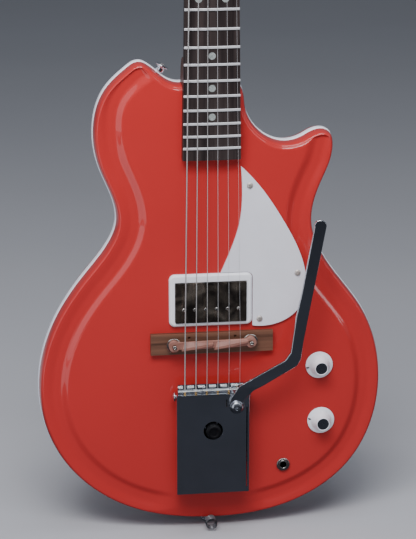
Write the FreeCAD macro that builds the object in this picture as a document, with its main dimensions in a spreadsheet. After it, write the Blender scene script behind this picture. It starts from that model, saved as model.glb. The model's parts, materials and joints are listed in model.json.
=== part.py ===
"""Electric guitar with a moulded two-shell body, a bolt-on neck and a vibrato tailpiece.

Frame, in millimetres: the origin is the seat of the tail strap button on the centre line and the
seam plane, +Z runs up the neck, -Y points out of the face and +X is the treble side.
Most parts are drawn in face coordinates: x across, y up the neck, z out of the face.
"""
import FreeCAD, Part
import Sketcher
import math
import os

from FreeCAD import Placement, Rotation, Vector

doc = FreeCAD.newDocument("ElectricGuitar")

# Every driving dimension, in millimetres and degrees.
DIMENSIONS = {
    # body, as heights over the face and distances in from the outline
    "face_to_seam": 20, "seam_top": -15, "seam_bottom": -25, "back_face": -42,
    "front_ceiling": -6.3, "back_floor": -38, "shell_set_in": 1, "binding_width": 6.5,
    "channel_depth": 2.8, "channel_outer": 10, "channel_inner": 27.6,
    "channel_floor_outer": 13.5, "channel_floor_inner": 20.5,
    "block_half": 34, "block_low": 14, "block_shoulder": 376, "block_high": 422,
    "tongue_left": -36, "tongue_right": 22,
    # neck and fingerboard
    "scale_length": 628.65, "saddle_line": 186.1, "fret_count": 21,
    "board_end": 361.7, "board_end_half": 27, "nut_half": 21, "board_bottom": 5, "board_top": 11,
    "board_radius": 305, "fret_height": 1.2, "fret_half": 1.15, "dot_radius": 3.3, "dot_depth": 1.5,
    "dot_spread": 12.2, "heel_bottom": -14, "heel_end": 456, "neck_low_depth": -12,
    "neck_high_depth": -9, "fit_gap": 0.25, "nut_length": 4.8, "nut_top": 13.6,
    "truss_height": -4, "truss_radius": 2.5, "truss_low": 380, "truss_high": 806,
    "neck_plate_half": 25, "neck_plate_low": 364, "neck_plate_high": 398, "neck_plate_thick": 2,
    "neck_screw_x": 18, "neck_screw_low": 371, "neck_screw_high": 391, "neck_screw_radius": 2.2,
    "neck_screw_length": 43, "neck_screw_head": 4.3, "truss_cover_top": 1.8,
    # headstock, in its own tilted coordinates from the nut
    "head_tilt": 8, "head_length": 164, "head_half": 38, "head_thick": 14,
    "tuner_first": 38, "tuner_step": 39, "tuner_x": 24, "post_radius": 3, "post_top": 12,
    "housing_half": 8, "housing_low": -7.4, "housing_high": 12.4, "housing_depth": 10,
    "housing_wall": 1, "worm_offset": 8.3, "worm_depth": -19.2, "worm_radius": 2,
    "wheel_radius": 6, "wheel_bottom": -21.2, "wheel_top": -17.2, "post_bottom": -22.5,
    "post_groove_radius": 2.4, "post_string_height": 6.2, "button_reach": 17, "button_length": 11,
    "tuner_screw_x": 33.9, "tuner_screw_offset": 2.8,
    # strings
    "bridge_spread": 26.3, "nut_spread": 17.2, "crest_height": 15.5, "nut_string_height": 12.6,
    "anchor_string_height": 13.7, "anchor_string_y": 139.75, "string_gap": 0.06,
    # pickup
    "ring_half": 39.6, "ring_low": 200, "ring_high": 251, "ring_height": 4, "ring_bevel": 1.8,
    "ring_corner": 5.5,
    "window_half": 34, "window_low": 203.8, "window_high": 243.2, "cover_gap": 0.3,
    "cover_top": 5.5, "cover_bottom": -11, "cover_wall": 0.5, "pole_y": 217, "pole_step": 10.4,
    "pole_radius": 1.4, "pole_head_radius": 1.85, "pole_head_top": 6.2, "pole_bottom": -9,
    # pickguard
    "guard_thick": 2.3, "guard_gap": 0.5, "guard_foot": 198.4, "guard_left": 9.6,
    # bridge
    "base_left": -57.5, "base_right": 59.3, "base_low": 173.5, "base_high": 193.6,
    "base_height": 5.5, "stud_left": -36, "stud_right": 37.2, "stud_left_y": 183.7,
    "stud_right_y": 185, "stud_radius": 2, "stud_top": 17.4, "wheel_low": 7.2, "wheel_high": 9.2,
    "thumbwheel_radius": 7, "saddle_low": 9.25, "saddle_shoulder": 12.6, "saddle_end_radius": 5,
    # vibrato
    "plate_half": 35, "plate_low": 36.6, "plate_high": 136.9, "plate_top": 20, "plate_thick": 1.6,
    "plate_fold": 1, "flange_bottom": 6, "lip_bottom": 14, "hinge_y": 132.5, "hinge_height": 9,
    "hinge_radius": 2, "hinge_reach": 37.5, "ear_radius": 4.5, "ear_inner": 30.5,
    "ear_outer": 32.5, "vibrato_base_low": 60, "vibrato_base_high": 128, "vibrato_base_thick": 2,
    "bracket_low": 92, "bracket_high": 109, "bracket_bottom": 4, "bracket_top": 5.5,
    "knob_window_radius": 9.2, "tension_y": 100.4, "tension_radius": 7.3, "tension_bottom": 16.9,
    "tension_top": 26, "tension_stud_top": 24, "bar_low": 136.9, "bar_high": 145.6,
    "bar_bottom": 11.5, "bar_top": 15.5, "bar_half": 33, "comb_low": 140.9, "comb_high": 142,
    "comb_depth": 2, "ball_y": 138.25, "ball_radius": 1.3, "spring_wire": 0.6, "spring_mean": 5,
    "arm_x": 21.9, "arm_y": 124.1, "arm_hole": 2.55, "arm_screw_radius": 2.5,
    "arm_head_radius": 6.5, "arm_thick": 2.6, "arm_bar_bottom": 25.2, "arm_gap": 0.05,
    # controls
    "volume_x": 105.4, "volume_y": 155.4, "tone_x": 107.9, "tone_y": 98.8,
    "knob_radius": 13.2, "knob_low": 0.9, "knob_neck": 6.6, "knob_top": 14, "shaft_radius": 3,
    "bushing_radius": 4.7, "pot_radius": 12, "pot_bottom": -15,
    "control_nut_height": 2.5, "control_nut_radius": 7.3,
    "jack_x": 71.3, "jack_y": 54.6, "jack_bore": 3.2, "jack_nut_radius": 6.75,
    # strap buttons and small screws
    "horn_x": -45.3, "horn_y": 440.1, "horn_axis_angle": 30, "button_waist": 4,
    "button_waist_length": 4.2, "button_flange": 6.45, "button_height": 7.5,
    "strap_screw_radius": 1.6, "strap_screw_depth": 14,
    "screw_radius": 1.35, "screw_head": 2.9, "screw_head_height": 1.5, "screw_length": 10,
    "hole_gap": 0.03,
}

sheet = doc.addObject("Spreadsheet::Sheet", "dims")
for row, (alias, number) in enumerate(DIMENSIONS.items(), start=1):
    sheet.set(f"A{row}", alias)
    sheet.set(f"B{row}", str(number))
    sheet.setAlias(f"B{row}", alias)
doc.recompute()

nodes = {}


def d(alias):
    """The sheet's number for a driving dimension."""
    return float(getattr(sheet, alias))


FACE = Placement(Vector(0, -d("face_to_seam"), 0), Rotation(Vector(1, 0, 0), 90))
NUT_LINE = d("saddle_line") + d("scale_length")
HEAD = FACE.multiply(Placement(
    Vector(0, NUT_LINE, d("board_bottom")), Rotation(Vector(1, 0, 0), -d("head_tilt"))))


def on_face(x, y, height=0):
    return FACE.multiply(Placement(Vector(x, y, height), Rotation()))


# ---------------------------------------------------------------- document objects

def feature(kind, name):
    return doc.addObject(kind, name)


def block(name, x, y, z):
    """Box between pairs of sheet expressions along x, y and z."""
    thing = feature("Part::Box", name)
    for size, axis, (low, high) in zip(("Length", "Width", "Height"), "xyz", (x, y, z)):
        thing.setExpression(size, f"({high}) - ({low})")
        thing.setExpression(f"Placement.Base.{axis}", str(low))
    return thing


AXES = {"x": Rotation(Vector(0, 1, 0), 90), "y": Rotation(Vector(1, 0, 0), -90), "z": Rotation()}


def rod(name, start, length, radius, axis="z"):
    """Cylinder from a start point of three sheet expressions, along one axis."""
    thing = feature("Part::Cylinder", name)
    thing.Placement = Placement(Vector(), AXES[axis])
    thing.setExpression("Radius", str(radius))
    thing.setExpression("Height", str(length))
    for letter, expression in zip("xyz", start):
        thing.setExpression(f"Placement.Base.{letter}", str(expression))
    return thing


def join(name, pieces):
    thing = feature("Part::MultiFuse", name)
    thing.Shapes = pieces
    return thing


def cut(name, base, tools):
    thing = feature("Part::Cut", name)
    thing.Base = base
    thing.Tool = tools[0] if len(tools) == 1 else join(name + "_tools", tools)
    return thing


def group(name, pieces):
    thing = feature("Part::Compound", name)
    thing.Links = pieces
    return thing


def shaped(name, shape):
    thing = feature("Part::Feature", name)
    thing.Shape = shape
    return thing


def sketch(body, plane, corners, lift="0"):
    """Closed polygon whose corners are pairs of sheet expressions, held by the sheet."""
    drawing = body.newObject("Sketcher::SketchObject", body.Name + "_outline")
    support = [item for item in body.Origin.OriginFeatures if item.Role == plane][0]
    drawing.AttachmentSupport = [(support, "")]
    drawing.MapMode = "FlatFace"
    drawing.setExpression("AttachmentOffset.Base.z", str(lift))
    points = [Vector(*(float(body.evalExpression(str(e))) for e in corner), 0) for corner in corners]
    count = len(points)
    for index in range(count):
        drawing.addGeometry(Part.LineSegment(points[index], points[(index + 1) % count]), False)
    for index in range(count):
        drawing.addConstraint(Sketcher.Constraint("Coincident", index, 2, (index + 1) % count, 1))
    for index, corner in enumerate(corners):
        for kind, expression, start in zip(("DistanceX", "DistanceY"), corner, points[index]):
            rule = drawing.addConstraint(Sketcher.Constraint(kind, index, 1, start))
            drawing.setExpression(f"Constraints[{rule}]", str(expression))
    return drawing


def turned(name, profile):
    """Body of revolution about its own z axis from (radius, height) corners."""
    body = feature("PartDesign::Body", name)
    drawing = sketch(body, "XZ_Plane", profile)
    turn = body.newObject("PartDesign::Revolution", name + "_turn")
    turn.Profile = drawing
    turn.ReferenceAxis = (drawing, ["V_Axis"])
    turn.Angle = 360
    body.Tip = turn
    return body


def padded(name, corners, low, high):
    """Flat plate from height low to height high over a polygon in face coordinates."""
    body = feature("PartDesign::Body", name)
    drawing = sketch(body, "XY_Plane", corners, low)
    pad = body.newObject("PartDesign::Pad", name + "_pad")
    pad.Profile = drawing
    pad.setExpression("Length", f"({high}) - ({low})")
    body.Tip = pad
    return body


def node(name, thing, place=None):
    """Keeps a finished piece under the name that its file gets."""
    thing.Label = name
    if place is not None:
        thing.Placement = place
    nodes[name] = thing


# ---------------------------------------------------------------- shared geometry

# The body's outer edge at the seam gasket, anticlockwise from the bass side of the neck.
OUTLINE = [
    (-24, 431.8), (-38, 434.3), (-57, 448.6), (-64.5, 451.3), (-76.6, 445.3), (-98, 423.5),
    (-108.2, 383), (-102.6, 351.5), (-90.5, 321), (-88, 300), (-95.2, 281), (-116.5, 252.8),
    (-144, 213), (-163.6, 139), (-142.5, 67.5), (-78, 14.6), (0, 0), (72, 8.6), (138, 50.5),
    (167.3, 139), (149.5, 207), (115.5, 254), (98.6, 298), (107, 334), (117.6, 366.5),
    (113.5, 382), (101.5, 383.8), (86.5, 376.8), (70, 373.8), (47, 385), (34.6, 407),
    (31.2, 425), (26, 431.8),
]
RING_POINTS = 180
outline = Part.BSplineCurve()
outline.interpolate(Points=[Vector(x, y, 0) for x, y in OUTLINE], PeriodicFlag=True)


def inset_point(where, inset, height):
    """Point of the outline at a curve parameter, moved into the body and to a height."""
    point = outline.value(where)
    tangent = outline.tangent(where)[0]
    return Vector(point.x - tangent.y * inset, point.y + tangent.x * inset, height)


def ring(inset, height):
    """Closed wire parallel to the outline."""
    first = outline.FirstParameter
    span = outline.LastParameter - first
    curve = Part.BSplineCurve()
    curve.interpolate(PeriodicFlag=True, Points=[
        inset_point(first + span * step / RING_POINTS, inset, height) for step in range(RING_POINTS)])
    return Part.Wire([curve.toShape()])


def stack(wires):
    return Part.makeLoft(wires, True, True)


def near(point):
    return outline.parameter(Vector(*point, 0))


def channel_wire(start, end, outer, inner, height):
    """Closed wire of one channel: two edges parallel to the outline, joined by round ends."""
    steps = [start + (end - start) * step / 24 for step in range(25)]
    edges = [[inset_point(where, inset, height) for where in steps] for inset in (outer, inner)]
    half = (inner - outer) / 2
    caps = []
    for where, sign in ((start, -1), (end, 1)):
        middle = inset_point(where, (outer + inner) / 2, height)
        caps.append(middle + outline.tangent(where)[0] * (sign * half))
    sides = []
    for points in edges:
        curve = Part.BSplineCurve()
        curve.interpolate(Points=points)
        sides.append(curve.toShape())
    cap_start = Part.Arc(edges[1][0], caps[0], edges[0][0]).toShape()
    cap_end = Part.Arc(edges[0][-1], caps[1], edges[1][-1]).toShape()
    return Part.Wire(Part.__sortEdges__([sides[0], cap_end, sides[1], cap_start]))


def channel(start, end):
    rim = 0.5
    slope = rim / d("channel_depth")
    outer_run = d("channel_floor_outer") - d("channel_outer")
    inner_run = d("channel_inner") - d("channel_floor_inner")
    return stack([
        channel_wire(start, end, d("channel_floor_outer"), d("channel_floor_inner"),
                     -d("channel_depth")),
        channel_wire(start, end, d("channel_outer") - outer_run * slope,
                     d("channel_inner") + inner_run * slope, rim)])


def cylinder(x, y, low, high, radius):
    return Part.makeCylinder(radius, high - low, Vector(x, y, low))


def slab(x, y, z):
    return Part.makeBox(x[1] - x[0], y[1] - y[0], z[1] - z[0], Vector(x[0], y[0], z[0]))


def board_half(y):
    """Half the fingerboard's width at a place along the neck."""
    slope = (d("board_end_half") - d("nut_half")) / (NUT_LINE - d("board_end"))
    return d("board_end_half") - slope * (y - d("board_end"))


def taper(low, high, bottom, top, grow=0.0):
    """Solid that narrows with the fingerboard, between two places and two heights."""
    wires = []
    for y in (low, high):
        half = board_half(y) + grow
        corners = [(-half, bottom), (half, bottom), (half, top), (-half, top), (-half, bottom)]
        wires.append(Part.makePolygon([Vector(x, y, z) for x, z in corners]))
    return stack(wires)


STUDS = [("bass", "stud_left", "stud_left_y"), ("treble", "stud_right", "stud_right_y")]
CONTROLS = {"volume": (d("volume_x"), d("volume_y")), "tone": (d("tone_x"), d("tone_y"))}
GUARD_SCREWS = [(36.7, 334.9), (82.8, 248.7), (46.7, 204.9)]
BASE_SCREWS = [(-22, 68), (22, 68), (-22, 116), (22, 116)]
COVER_SCREWS = [(0, 8.5), (0, 38.5)]
NECK_SCREWS = [(side * d("neck_screw_x"), y)
               for y in (d("neck_screw_low"), d("neck_screw_high")) for side in (-1, 1)]
STRING_RADII = [0.585, 0.455, 0.33, 0.215, 0.165, 0.125]
BREAK_LINE = [181.5, 183.3, 185.1, 182, 184, 186]


def spread(index, half):
    """Place across the neck of string 0 to 5, bass first."""
    return half * (index - 2.5) / 2.5


def post_place(index):
    """Headstock coordinates of a tuner post. Strings 0 to 2 are on the bass side."""
    side = -1 if index < 3 else 1
    rank = index if index < 3 else 5 - index
    return side, side * d("tuner_x"), d("tuner_first") + rank * d("tuner_step")


def tuner_screw_place(side, y):
    """Headstock coordinates of the screw that holds a tuner whose post is at y."""
    return Vector(side * d("tuner_screw_x"), y + d("tuner_screw_offset"), -d("head_thick"))


def strap_place(x, y, angle):
    """Strap button placement: its z axis leaves the body in the seam plane."""
    turn = Rotation(Vector(0, 0, 1), -angle).multiply(Rotation(Vector(1, 0, 0), -90))
    return FACE.multiply(Placement(Vector(x, y, -d("face_to_seam")), turn))


STRAPS = [strap_place(0, 0, 180), strap_place(d("horn_x"), d("horn_y"), d("horn_axis_angle"))]


def strap_tool(place, radius, start, end):
    """Cylinder on a strap button's axis, in face coordinates, from start to end along it."""
    tool = Part.makeCylinder(radius, end - start, Vector(0, 0, start))
    tool.Placement = FACE.inverse().multiply(place)
    return tool


# ---------------------------------------------------------------- body

def front_shell():
    edge, seam = d("shell_set_in"), d("seam_top")
    outside = stack([ring(edge, seam), ring(edge + 0.5, -8), ring(edge + 1.2, -5), ring(4, -2),
                     ring(7, -0.4), ring(9, 0)])
    inside = stack([ring(6, seam), ring(6.5, -9), ring(9, d("front_ceiling"))])
    shell = outside.cut(inside)
    left = channel(near((-79, 441)), near((-44, 5)))
    right = channel(near((42, 3)), near((117, 358)))
    gap = d("fit_gap")
    window = d("window_half") + gap
    tools = [
        left, right,
        taper(d("board_end") - gap, d("heel_end") + 20, d("seam_bottom"), d("board_top"), gap),
        slab((-window, window), (d("window_low") - gap, d("window_high") + gap), (-12, 5)),
        cylinder(d("jack_x"), d("jack_y"), -10, 5, d("bushing_radius") + 0.1),
    ]
    tools += [cylinder(x, y, -10, 5, d("bushing_radius") + 0.1) for x, y in CONTROLS.values()]
    tools += [cylinder(x, y, -10, 5, d("screw_radius") + d("hole_gap"))
              for x, y in GUARD_SCREWS + BASE_SCREWS]
    return shell.cut(tools)


def back_shell():
    back, floor, edge, seam = d("back_face"), d("back_floor"), d("shell_set_in"), d("seam_bottom")
    outside = stack([ring(edge, seam), ring(edge + 0.8, -33), ring(edge + 2.2, -38), ring(7, -41.2),
                     ring(9, back)])
    inside = stack([ring(6, seam), ring(7, -34), ring(9, floor)])
    holes = [cylinder(x, y, back - 1, floor + 1, d("neck_screw_radius") + d("hole_gap"))
             for x, y in NECK_SCREWS]
    return outside.cut(inside).cut(holes)


def binding():
    top, bottom = d("seam_top"), d("seam_bottom")
    band = stack([ring(0.8, bottom), ring(0, bottom + 1.2), ring(0, top - 1.2), ring(0.8, top)])
    hollow = stack([ring(d("binding_width"), bottom), ring(d("binding_width"), top)])
    holes = [strap_tool(place, d("strap_screw_radius") + 0.05, -30, 5) for place in STRAPS]
    seats = [strap_tool(place, d("button_waist") + 0.4, 0, 5) for place in STRAPS]
    return band.cut(hollow).cut(holes + seats)


def center_block():
    front, back = d("front_ceiling") - 0.1, d("back_floor") + 0.1
    main = slab((-d("block_half"), d("block_half")), (d("block_low"), d("block_shoulder")),
                (back, front))
    tongue = slab((d("tongue_left"), d("tongue_right")), (d("block_shoulder"), d("block_high")),
                  (back, front))
    pilot = d("screw_radius") + d("hole_gap")
    strap_pilot = d("strap_screw_radius") + 0.02
    tools = [
        slab((-d("block_half") - 5, d("block_half")), (d("board_end") - d("fit_gap"), 430),
             (d("heel_bottom") - 0.05, 0)),
        slab((-36, 36), (d("window_low") - 1, d("window_high") + 1), (-13, 0)),
        slab((18, 36), (206, 231), (-22, -12)),
        strap_tool(STRAPS[0], strap_pilot, -20, 5)]
    tools += [cylinder(x, y, -12, 0, pilot) for x, y in BASE_SCREWS]
    tools += [cylinder(x, y, back - 1, 0, d("neck_screw_radius") + d("hole_gap"))
              for x, y in NECK_SCREWS]
    horn = Part.makeBox(14, 16, 16, Vector(-7, -8, -26))
    horn.Placement = FACE.inverse().multiply(STRAPS[1])
    return Part.makeCompound([main.fuse(tongue).removeSplitter().cut(tools),
                              horn.cut(strap_tool(STRAPS[1], strap_pilot, -30, 5))])


node("body_front_shell", shaped("front_shell", front_shell()), FACE)
node("body_back_shell", shaped("back_shell", back_shell()), FACE)
node("body_binding", shaped("binding", binding()), FACE)
node("center_block", shaped("block", center_block()), FACE)


# ---------------------------------------------------------------- neck

def d_section(y, depth):
    half = board_half(y)
    left, right = Vector(-half, y, d("board_bottom")), Vector(half, y, d("board_bottom"))
    arc = Part.Arc(right, Vector(0, y, depth), left).toShape()
    return Part.Wire([Part.LineSegment(left, right).toShape(), arc])


def headstock():
    """Paddle with flared shoulders and a crowned end, in headstock coordinates."""
    half, length = d("head_half"), d("head_length")
    right = [Vector(d("nut_half"), 0, 0), Vector(21.2, 4, 0), Vector(25.5, 14, 0),
             Vector(35, 26, 0), Vector(half, length - 28, 0)]
    left = [Vector(-point.x, point.y, 0) for point in right]
    edges = [
        Part.LineSegment(left[0], right[0]), Part.LineSegment(right[0], right[1]),
        Part.Arc(right[1], right[2], right[3]), Part.LineSegment(right[3], right[4]),
        Part.Arc(right[4], Vector(0, length, 0), left[4]), Part.LineSegment(left[4], left[3]),
        Part.Arc(left[3], left[2], left[1]), Part.LineSegment(left[1], left[0])]
    face = Part.Face(Part.Wire([edge.toShape() for edge in edges]))
    paddle = face.extrude(Vector(0, 0, -d("head_thick")))
    holes = [Part.makeCylinder(4.1, 20, Vector(x, y, -17)) for _, x, y in map(post_place, range(6))]
    pilot = d("screw_radius") + d("hole_gap")
    holes += [Part.makeCylinder(pilot, 9, Vector(x, y, -8)) for x, y in COVER_SCREWS]
    holes += [Part.makeCylinder(pilot, 9, tuner_screw_place(side, y) - Vector(0, 0, 1))
              for side, _, y in map(post_place, range(6))]
    solid = paddle.cut(holes)
    solid.Placement = FACE.inverse().multiply(HEAD)
    return solid


def neck():
    low, bottom, top = d("board_end"), d("heel_bottom"), d("board_bottom")
    end = d("heel_end")
    side = [(low, top), (low, bottom), (end - 22, bottom), (end - 10, bottom + 1.8),
            (end - 3, bottom + 6), (end, bottom + 12), (end, top), (low, top)]
    profile = Part.Face(Part.makePolygon([Vector(-40, y, z) for y, z in side]))
    heel = taper(low, end, bottom, top).common(profile.extrude(Vector(80, 0, 0)))
    shaft = stack([d_section(end - 20, d("neck_low_depth")),
                   d_section(NUT_LINE + d("nut_length"), d("neck_high_depth"))])
    rod_hole = Part.makeCylinder(d("truss_radius") + 0.05, d("truss_high") - d("truss_low"),
                                 Vector(0, d("truss_low"), d("truss_height")), Vector(0, 1, 0))
    screw_holes = [cylinder(x, y, -20, 1.2, d("neck_screw_radius") + d("hole_gap"))
                   for x, y in NECK_SCREWS]
    return heel.fuse([shaft, headstock()]).cut([rod_hole] + screw_holes)


def crown(lift):
    """Cylinder along the neck whose surface lies a little over the crowned fingerboard."""
    radius = d("board_radius") + lift
    start = d("board_end") - 10
    return Part.makeCylinder(radius, NUT_LINE - start + 20,
                             Vector(0, start, d("board_top") - d("board_radius")), Vector(0, 1, 0))


def fret_line(number):
    return d("saddle_line") + d("scale_length") * 2 ** (-number / 12)


def dot_places():
    """Dots lie half-way between frets; the twelfth space has a pair."""
    places = []
    for number in (3, 5, 7, 9, 12, 15, 17, 19):
        y = (fret_line(number) + fret_line(number - 1)) / 2
        sides = (-d("dot_spread"), d("dot_spread")) if number == 12 else (0,)
        places += [(x, y) for x in sides]
    return places


def fretboard():
    board = taper(d("board_end"), NUT_LINE, d("board_bottom"), d("board_top") + 1)
    top = d("board_top")
    pockets = [cylinder(x, y, top - d("dot_depth"), top + 2, d("dot_radius") + d("hole_gap"))
               for x, y in dot_places()]
    return board.common(crown(0)).cut(pockets)


def frets():
    top, half = d("board_top"), d("fret_half")
    bars = []
    for number in range(1, int(d("fret_count")) + 1):
        y = fret_line(number)
        bar = taper(y - half, y + half, top - 3, top + 4)
        bars.append(bar.common(crown(d("fret_height"))).cut(crown(d("hole_gap"))))
    return Part.makeCompound(bars)


def inlay_dots():
    low, high = d("board_top") - d("dot_depth"), d("board_top") + 2
    return Part.makeCompound([cylinder(x, y, low, high, d("dot_radius")).common(crown(0))
                              for x, y in dot_places()])


def string_nut():
    half = d("nut_half") - 0.2
    bar = slab((-half, half), (NUT_LINE, NUT_LINE + d("nut_length")),
               (d("board_bottom") + 0.05, d("nut_top")))
    slots = []
    for index, radius in enumerate(STRING_RADII):
        wide = radius + d("string_gap")
        x = spread(index, d("nut_spread"))
        slots.append(slab((x - wide, x + wide), (NUT_LINE - 1, NUT_LINE + 7),
                          (d("nut_string_height"), d("nut_top") + 1)))
    return bar.cut(slots)


node("neck", shaped("neck_wood", neck()), FACE)
node("fretboard", shaped("board", fretboard()), FACE)
node("frets", shaped("fret_wires", frets()), FACE)
node("inlay_dots", shaped("dots", inlay_dots()), FACE)
node("string_nut", shaped("nut_bar", string_nut()), FACE)

rod_bar = rod("rod_bar", (0, "dims.truss_low", "dims.truss_height"),
              "dims.truss_high - dims.truss_low", "dims.truss_radius", "y")
node("truss_rod", group("truss_rod_place", [rod_bar]), FACE)

cover_plate = padded("cover_plate", [(-10, 4.9), (10, 4.9), (7, 42), (-7, 42)], "0.05",
                     "dims.truss_cover_top")
cover_holes = [rod(f"cover_hole_{n}", (x, y, -1), 5, "dims.screw_radius + dims.hole_gap")
               for n, (x, y) in enumerate(COVER_SCREWS)]
node("truss_rod_cover", cut("truss_cover", cover_plate, cover_holes), HEAD)

plate_blank = block("neck_plate_blank", ("-dims.neck_plate_half", "dims.neck_plate_half"),
                    ("dims.neck_plate_low", "dims.neck_plate_high"),
                    ("dims.back_face - dims.neck_plate_thick", "dims.back_face"))
plate_holes = [rod(f"neck_plate_hole_{n}", (x, y, "dims.back_face - 5"), 10,
                   "dims.neck_screw_radius + dims.hole_gap") for n, (x, y) in enumerate(NECK_SCREWS)]
node("neck_plate", cut("neck_plate_cut", plate_blank, plate_holes), FACE)

neck_screw = turned("neck_screw", [
    (0, 0), ("dims.neck_screw_radius", 0), ("dims.neck_screw_radius", "dims.neck_screw_length"),
    ("dims.neck_screw_head", "dims.neck_screw_length"),
    ("dims.neck_screw_head - 0.3", "dims.neck_screw_length + 1.4"),
    ("dims.neck_screw_head - 1.7", "dims.neck_screw_length + 2.4"),
    (0, "dims.neck_screw_length + 2.7")])
doc.recompute()


def copies(shape, places):
    made = []
    for place in places:
        piece = shape.copy()
        piece.Placement = place
        made.append(piece)
    return Part.makeCompound(made)


facing_back = Rotation(Vector(1, 0, 0), 180)
screw_end = d("back_face") - d("neck_plate_thick") + d("neck_screw_length")
node("neck_screws", shaped("neck_screw_set", copies(neck_screw.Shape, [
    Placement(Vector(x, y, screw_end), facing_back) for x, y in NECK_SCREWS])), FACE)


# ---------------------------------------------------------------- strap buttons and small screws

strap_button = turned("strap_button", [
    ("dims.strap_screw_radius + 0.05", 0), ("dims.button_waist", 0),
    ("dims.button_waist", "dims.button_waist_length"),
    ("dims.button_flange", "dims.button_height - 2"), ("dims.button_flange", "dims.button_height - 1"),
    ("dims.button_flange - 1.5", "dims.button_height"), (3.1, "dims.button_height"),
    (3.1, "dims.button_height - 1.6"),
    ("dims.strap_screw_radius + 0.05", "dims.button_height - 1.6")])
strap_screw = turned("strap_screw", [
    (0, "-dims.strap_screw_depth"), ("dims.strap_screw_radius", "-dims.strap_screw_depth"),
    ("dims.strap_screw_radius", "dims.button_height - 1.55"), (3, "dims.button_height - 1.55"),
    (3, "dims.button_height - 0.8"), (1.8, "dims.button_height + 0.1"),
    (0, "dims.button_height + 0.3")])
small_screw = turned("small_screw", [
    (0, "-dims.screw_length"), ("dims.screw_radius", "-dims.screw_length"), ("dims.screw_radius", 0.02),
    ("dims.screw_head", 0.02), ("dims.screw_head - 0.2", 0.6), (1.8, "dims.screw_head_height - 0.15"),
    (0, "dims.screw_head_height")])
tuner_screw = turned("tuner_screw", [
    (0, -6.5), ("dims.screw_radius", -6.5), ("dims.screw_radius", 0.02), (1.8, 0.02),
    (1.5, 0.9), (0, 1.2)])
doc.recompute()

node("strap_buttons", shaped("strap_button_pair", copies(strap_button.Shape, STRAPS)))


def wood_screws():
    seats = [on_face(x, y, d("guard_thick")) for x, y in GUARD_SCREWS]
    seats += [on_face(x, y, d("vibrato_base_thick")) for x, y in BASE_SCREWS]
    pieces = copies(small_screw.Shape, seats).Solids
    cover_seats = [HEAD.multiply(Placement(Vector(x, y, d("truss_cover_top")), Rotation()))
                   for x, y in COVER_SCREWS]
    foot = Vector(0, 0, 1)
    tuner_seats = [HEAD.multiply(Placement(tuner_screw_place(side, y) - foot, facing_back))
                   for side, _, y in map(post_place, range(6))]
    pieces += copies(tuner_screw.Shape, cover_seats + tuner_seats).Solids
    pieces += copies(strap_screw.Shape, STRAPS).Solids
    return Part.makeCompound(pieces)


node("small_wood_screws", shaped("wood_screw_set", wood_screws()))


# ---------------------------------------------------------------- pickguard and pickup

def pickguard():
    """Flat plate: one sweeping edge each side, cut out round the pickup ring's corner."""
    side, top = d("ring_half") + d("guard_gap"), d("ring_high") + d("guard_gap")
    turn = d("ring_corner") + d("guard_gap")
    right = [(28.4, 353.5), (48.3, 331.5), (68.4, 301.1), (86.3, 264.9), (91, 244), (83.5, 212.4),
             (68.1, 201.3), (49.1, 197.6), (side, d("guard_foot"))]
    left = [(d("guard_left"), top), (19.4, 274.4), (27.3, 299.9), (29.6, 326.9), (28.4, 353.5)]
    sides = []
    for points in (right, left):
        curve = Part.BSplineCurve()
        curve.interpolate(Points=[Vector(x, y, 0) for x, y in points])
        sides.append(curve.toShape())
    middle = Vector(side - turn, top - turn, 0)
    bend = [middle + Vector(turn * math.cos(angle), turn * math.sin(angle), 0)
            for angle in (0, math.pi / 4, math.pi / 2)]
    cutout = [Part.LineSegment(Vector(*right[-1], 0), bend[0]).toShape(), Part.Arc(*bend).toShape(),
              Part.LineSegment(bend[2], Vector(*left[0], 0)).toShape()]
    face = Part.Face(Part.Wire([sides[0]] + cutout + [sides[1]]))
    plate = face.extrude(Vector(0, 0, d("guard_thick")))
    return plate.cut([cylinder(x, y, -1, 5, d("screw_radius") + d("hole_gap"))
                      for x, y in GUARD_SCREWS])


node("pickguard", shaped("guard_plate", pickguard()), FACE)

POLES = [(f"{n - 2.5} * dims.pole_step") for n in range(6)]
window = ("-dims.window_half", "dims.window_half", "dims.window_low", "dims.window_high")
ring_base = block("ring_base", ("-dims.ring_half", "dims.ring_half"),
                  ("dims.ring_low", "dims.ring_high"), (0, "dims.ring_height"))
doc.recompute()


def top_edges(thing, height):
    """Edge numbers of a box or plate whose ends both lie at a height."""
    found = []
    for number, edge in enumerate(thing.Shape.Edges, start=1):
        if all(abs(vertex.Z - height) < 1e-6 for vertex in edge.Vertexes):
            found.append(number)
    return found


def upright_edges(thing):
    return [number for number, edge in enumerate(thing.Shape.Edges, start=1)
            if abs(edge.tangentAt(edge.FirstParameter).z) > 0.99]


def eased(name, kind, base, numbers, size):
    thing = feature(kind, name)
    thing.Base = base
    thing.Edges = [(number, size, size) for number in numbers]
    doc.recompute()
    return thing


ring_round = eased("ring_round", "Part::Fillet", ring_base, upright_edges(ring_base),
                   d("ring_corner"))
ring_bevel = eased("ring_bevel", "Part::Chamfer", ring_round,
                   top_edges(ring_round, d("ring_height")), d("ring_bevel"))
ring_window = block("ring_window", window[:2], window[2:], (-1, 8))
node("pickup_ring", cut("ring_cut", ring_bevel, [ring_window]), FACE)

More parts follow.
